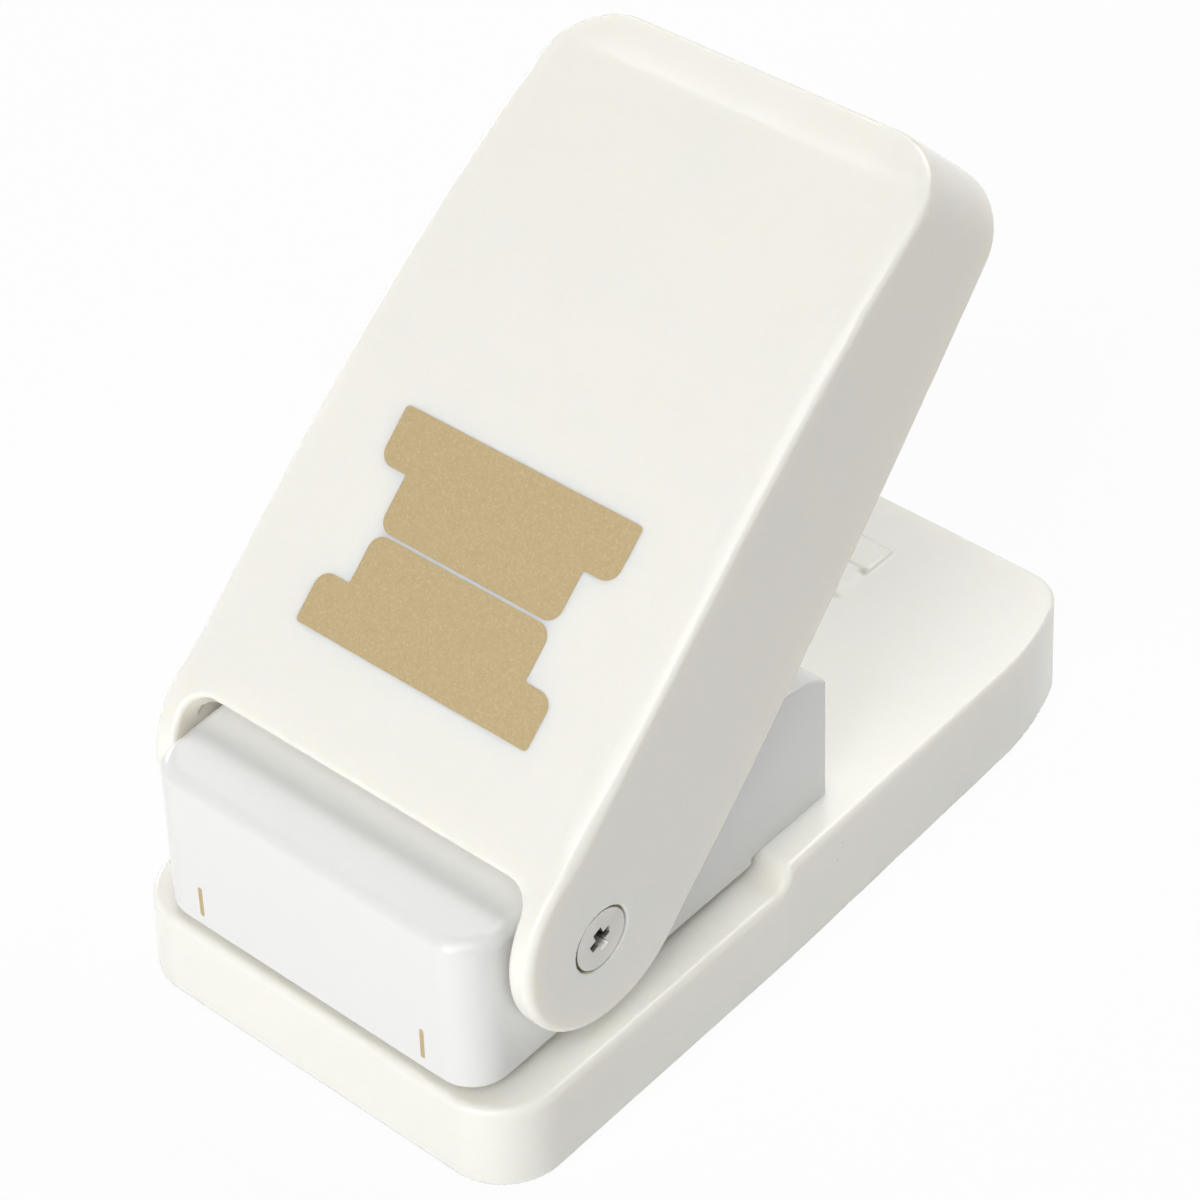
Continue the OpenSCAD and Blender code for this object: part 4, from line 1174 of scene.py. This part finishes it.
# CAD nodes that keep their own shape take the finish of their slot
finish_of = {"cover_plastic": cover_finish, "foot_rubber": foot_finish, "tool_steel": tool_steel,
             "sheet_steel": sheet_steel, "insert_brass": brass, "screw_steel": screw_steel,
             "spring_steel": spring_steel, "ivory_plastic": ivory, "white_plastic": white}
for part in frame["record"]["subparts"]:
    node = frame["nodes"][part["node"]]
    node.data.materials.clear()
    node.data.materials.append(finish_of[part["material_slot"]])

bpy.context.view_layer.update()


# Stage, light and camera

ROOM_LIGHT = 0.05
FLOOR_GLOW = 0.93
FLOOR_REACH = 6.0
FLOOR_TONE = (0.9, 0.9, 0.9, 1)
PURE_WHITE = (1, 1, 1, 1)
LAMP_AIM = Vector((0.0, 0.0, 0.035))


def emptied_tree(owner):
    """The node tree of a material or a world, without its first nodes."""
    owner.use_nodes = True
    owner.node_tree.nodes.clear()
    return owner.node_tree


def seen_share(tree):
    """1 for what the camera, a reflection or a clear surface shows, and 0 for what only gives light."""
    rays = tree.nodes.new("ShaderNodeLightPath").outputs
    seen = calc(tree, "MAXIMUM", rays["Is Camera Ray"], rays["Is Glossy Ray"])
    return calc(tree, "MAXIMUM", seen, rays["Is Transmission Ray"])


def pale_floor():
    """A wide floor that looks white and keeps the object's shadow."""
    floor_mesh = bpy.data.meshes.new("floor")
    r = FLOOR_REACH
    floor_mesh.from_pydata([(-r, -r, 0), (r, -r, 0), (r, r, 0), (-r, r, 0)], [], [(0, 1, 2, 3)])
    material = bpy.data.materials.new("pale_floor")
    tree = emptied_tree(material)
    share = calc(tree, "MULTIPLY", seen_share(tree), FLOOR_GLOW)
    plain = result_of(tree, "ShaderNodeBsdfDiffuse", {"Color": FLOOR_TONE})
    glow = result_of(tree, "ShaderNodeEmission", {"Color": PURE_WHITE, "Strength": 1.0})
    mix = result_of(tree, "ShaderNodeMixShader", {0: share, 1: plain, 2: glow})
    tree.links.new(mix, tree.nodes.new("ShaderNodeOutputMaterial").inputs[0])
    finished("floor", floor_mesh, material)


def studio_room():
    """An even, weak room light with a white backdrop."""
    world = bpy.data.worlds.new("studio")
    bpy.context.scene.world = world
    tree = emptied_tree(world)
    room = result_of(tree, "ShaderNodeBackground", {"Color": PURE_WHITE, "Strength": ROOM_LIGHT})
    backdrop = result_of(tree, "ShaderNodeBackground", {"Color": PURE_WHITE, "Strength": 1.0})
    mix = result_of(tree, "ShaderNodeMixShader", {0: seen_share(tree), 1: room, 2: backdrop})
    tree.links.new(mix, tree.nodes.new("ShaderNodeOutputWorld").inputs[0])


def lamp(name, place, watts, size):
    """A square soft box aimed at the middle of the object."""
    data = bpy.data.lights.new(name, "AREA")
    data.energy, data.size = watts, size
    obj = linked(name, data)
    obj.location = Vector(place)
    obj.rotation_euler = (LAMP_AIM - obj.location).to_track_quat("-Z", "Y").to_euler()


pale_floor()
studio_room()
lamp("high_soft_box", (0.4, -0.55, 0.9), 3.7, 0.7)
lamp("front_soft_box", (0.1, -0.95, 0.5), 4.7, 0.6)
lamp("low_front_card", (0.0, -1.0, 0.16), 1.4, 0.3)
lamp("rear_soft_box", (0.1, 0.75, 0.85), 5.5, 0.7)
lamp("rear_left_soft_box", (-0.5, 0.55, 0.8), 1.8, 0.6)
lamp("end_glint_card", (-0.585, 0.0, 1.0), 0.2, 0.14)
lamp("left_card", (-0.9, 0.14, 0.12), 2.7, 0.2)

PHOTO_AZIMUTH = math.radians(42.009)
PHOTO_ELEVATION = math.radians(40.453)
PHOTO_ROLL = math.radians(1.881)
PHOTO_PLACE = Vector((0.22378, -0.25275, 0.32392))
PHOTO_FOCUS = 3721.85
PHOTO_SIDE = 1200


def photo_camera():
    """The camera that took the photograph: its angle, roll, distance and field of view."""
    data = bpy.data.cameras.new("photo_view")
    data.angle = 2 * math.atan(PHOTO_SIDE / 2 / PHOTO_FOCUS)
    data.clip_start, data.clip_end = 0.01, 50
    camera = linked("photo_view", data)
    ce = math.cos(PHOTO_ELEVATION)
    back = Vector((math.sin(PHOTO_AZIMUTH) * ce, -math.cos(PHOTO_AZIMUTH) * ce, math.sin(PHOTO_ELEVATION)))
    level = Vector((math.cos(PHOTO_AZIMUTH), math.sin(PHOTO_AZIMUTH), 0))
    fall = (-back).cross(level)
    right = math.cos(PHOTO_ROLL) * level + math.sin(PHOTO_ROLL) * fall
    down = math.cos(PHOTO_ROLL) * fall - math.sin(PHOTO_ROLL) * level
    axes = Matrix((right, -down, back)).transposed()
    camera.matrix_world = Matrix.Translation(PHOTO_PLACE) @ axes.to_4x4()
    bpy.context.scene.camera = camera


photo_camera()
bpy.context.scene.view_settings.view_transform = "Standard"
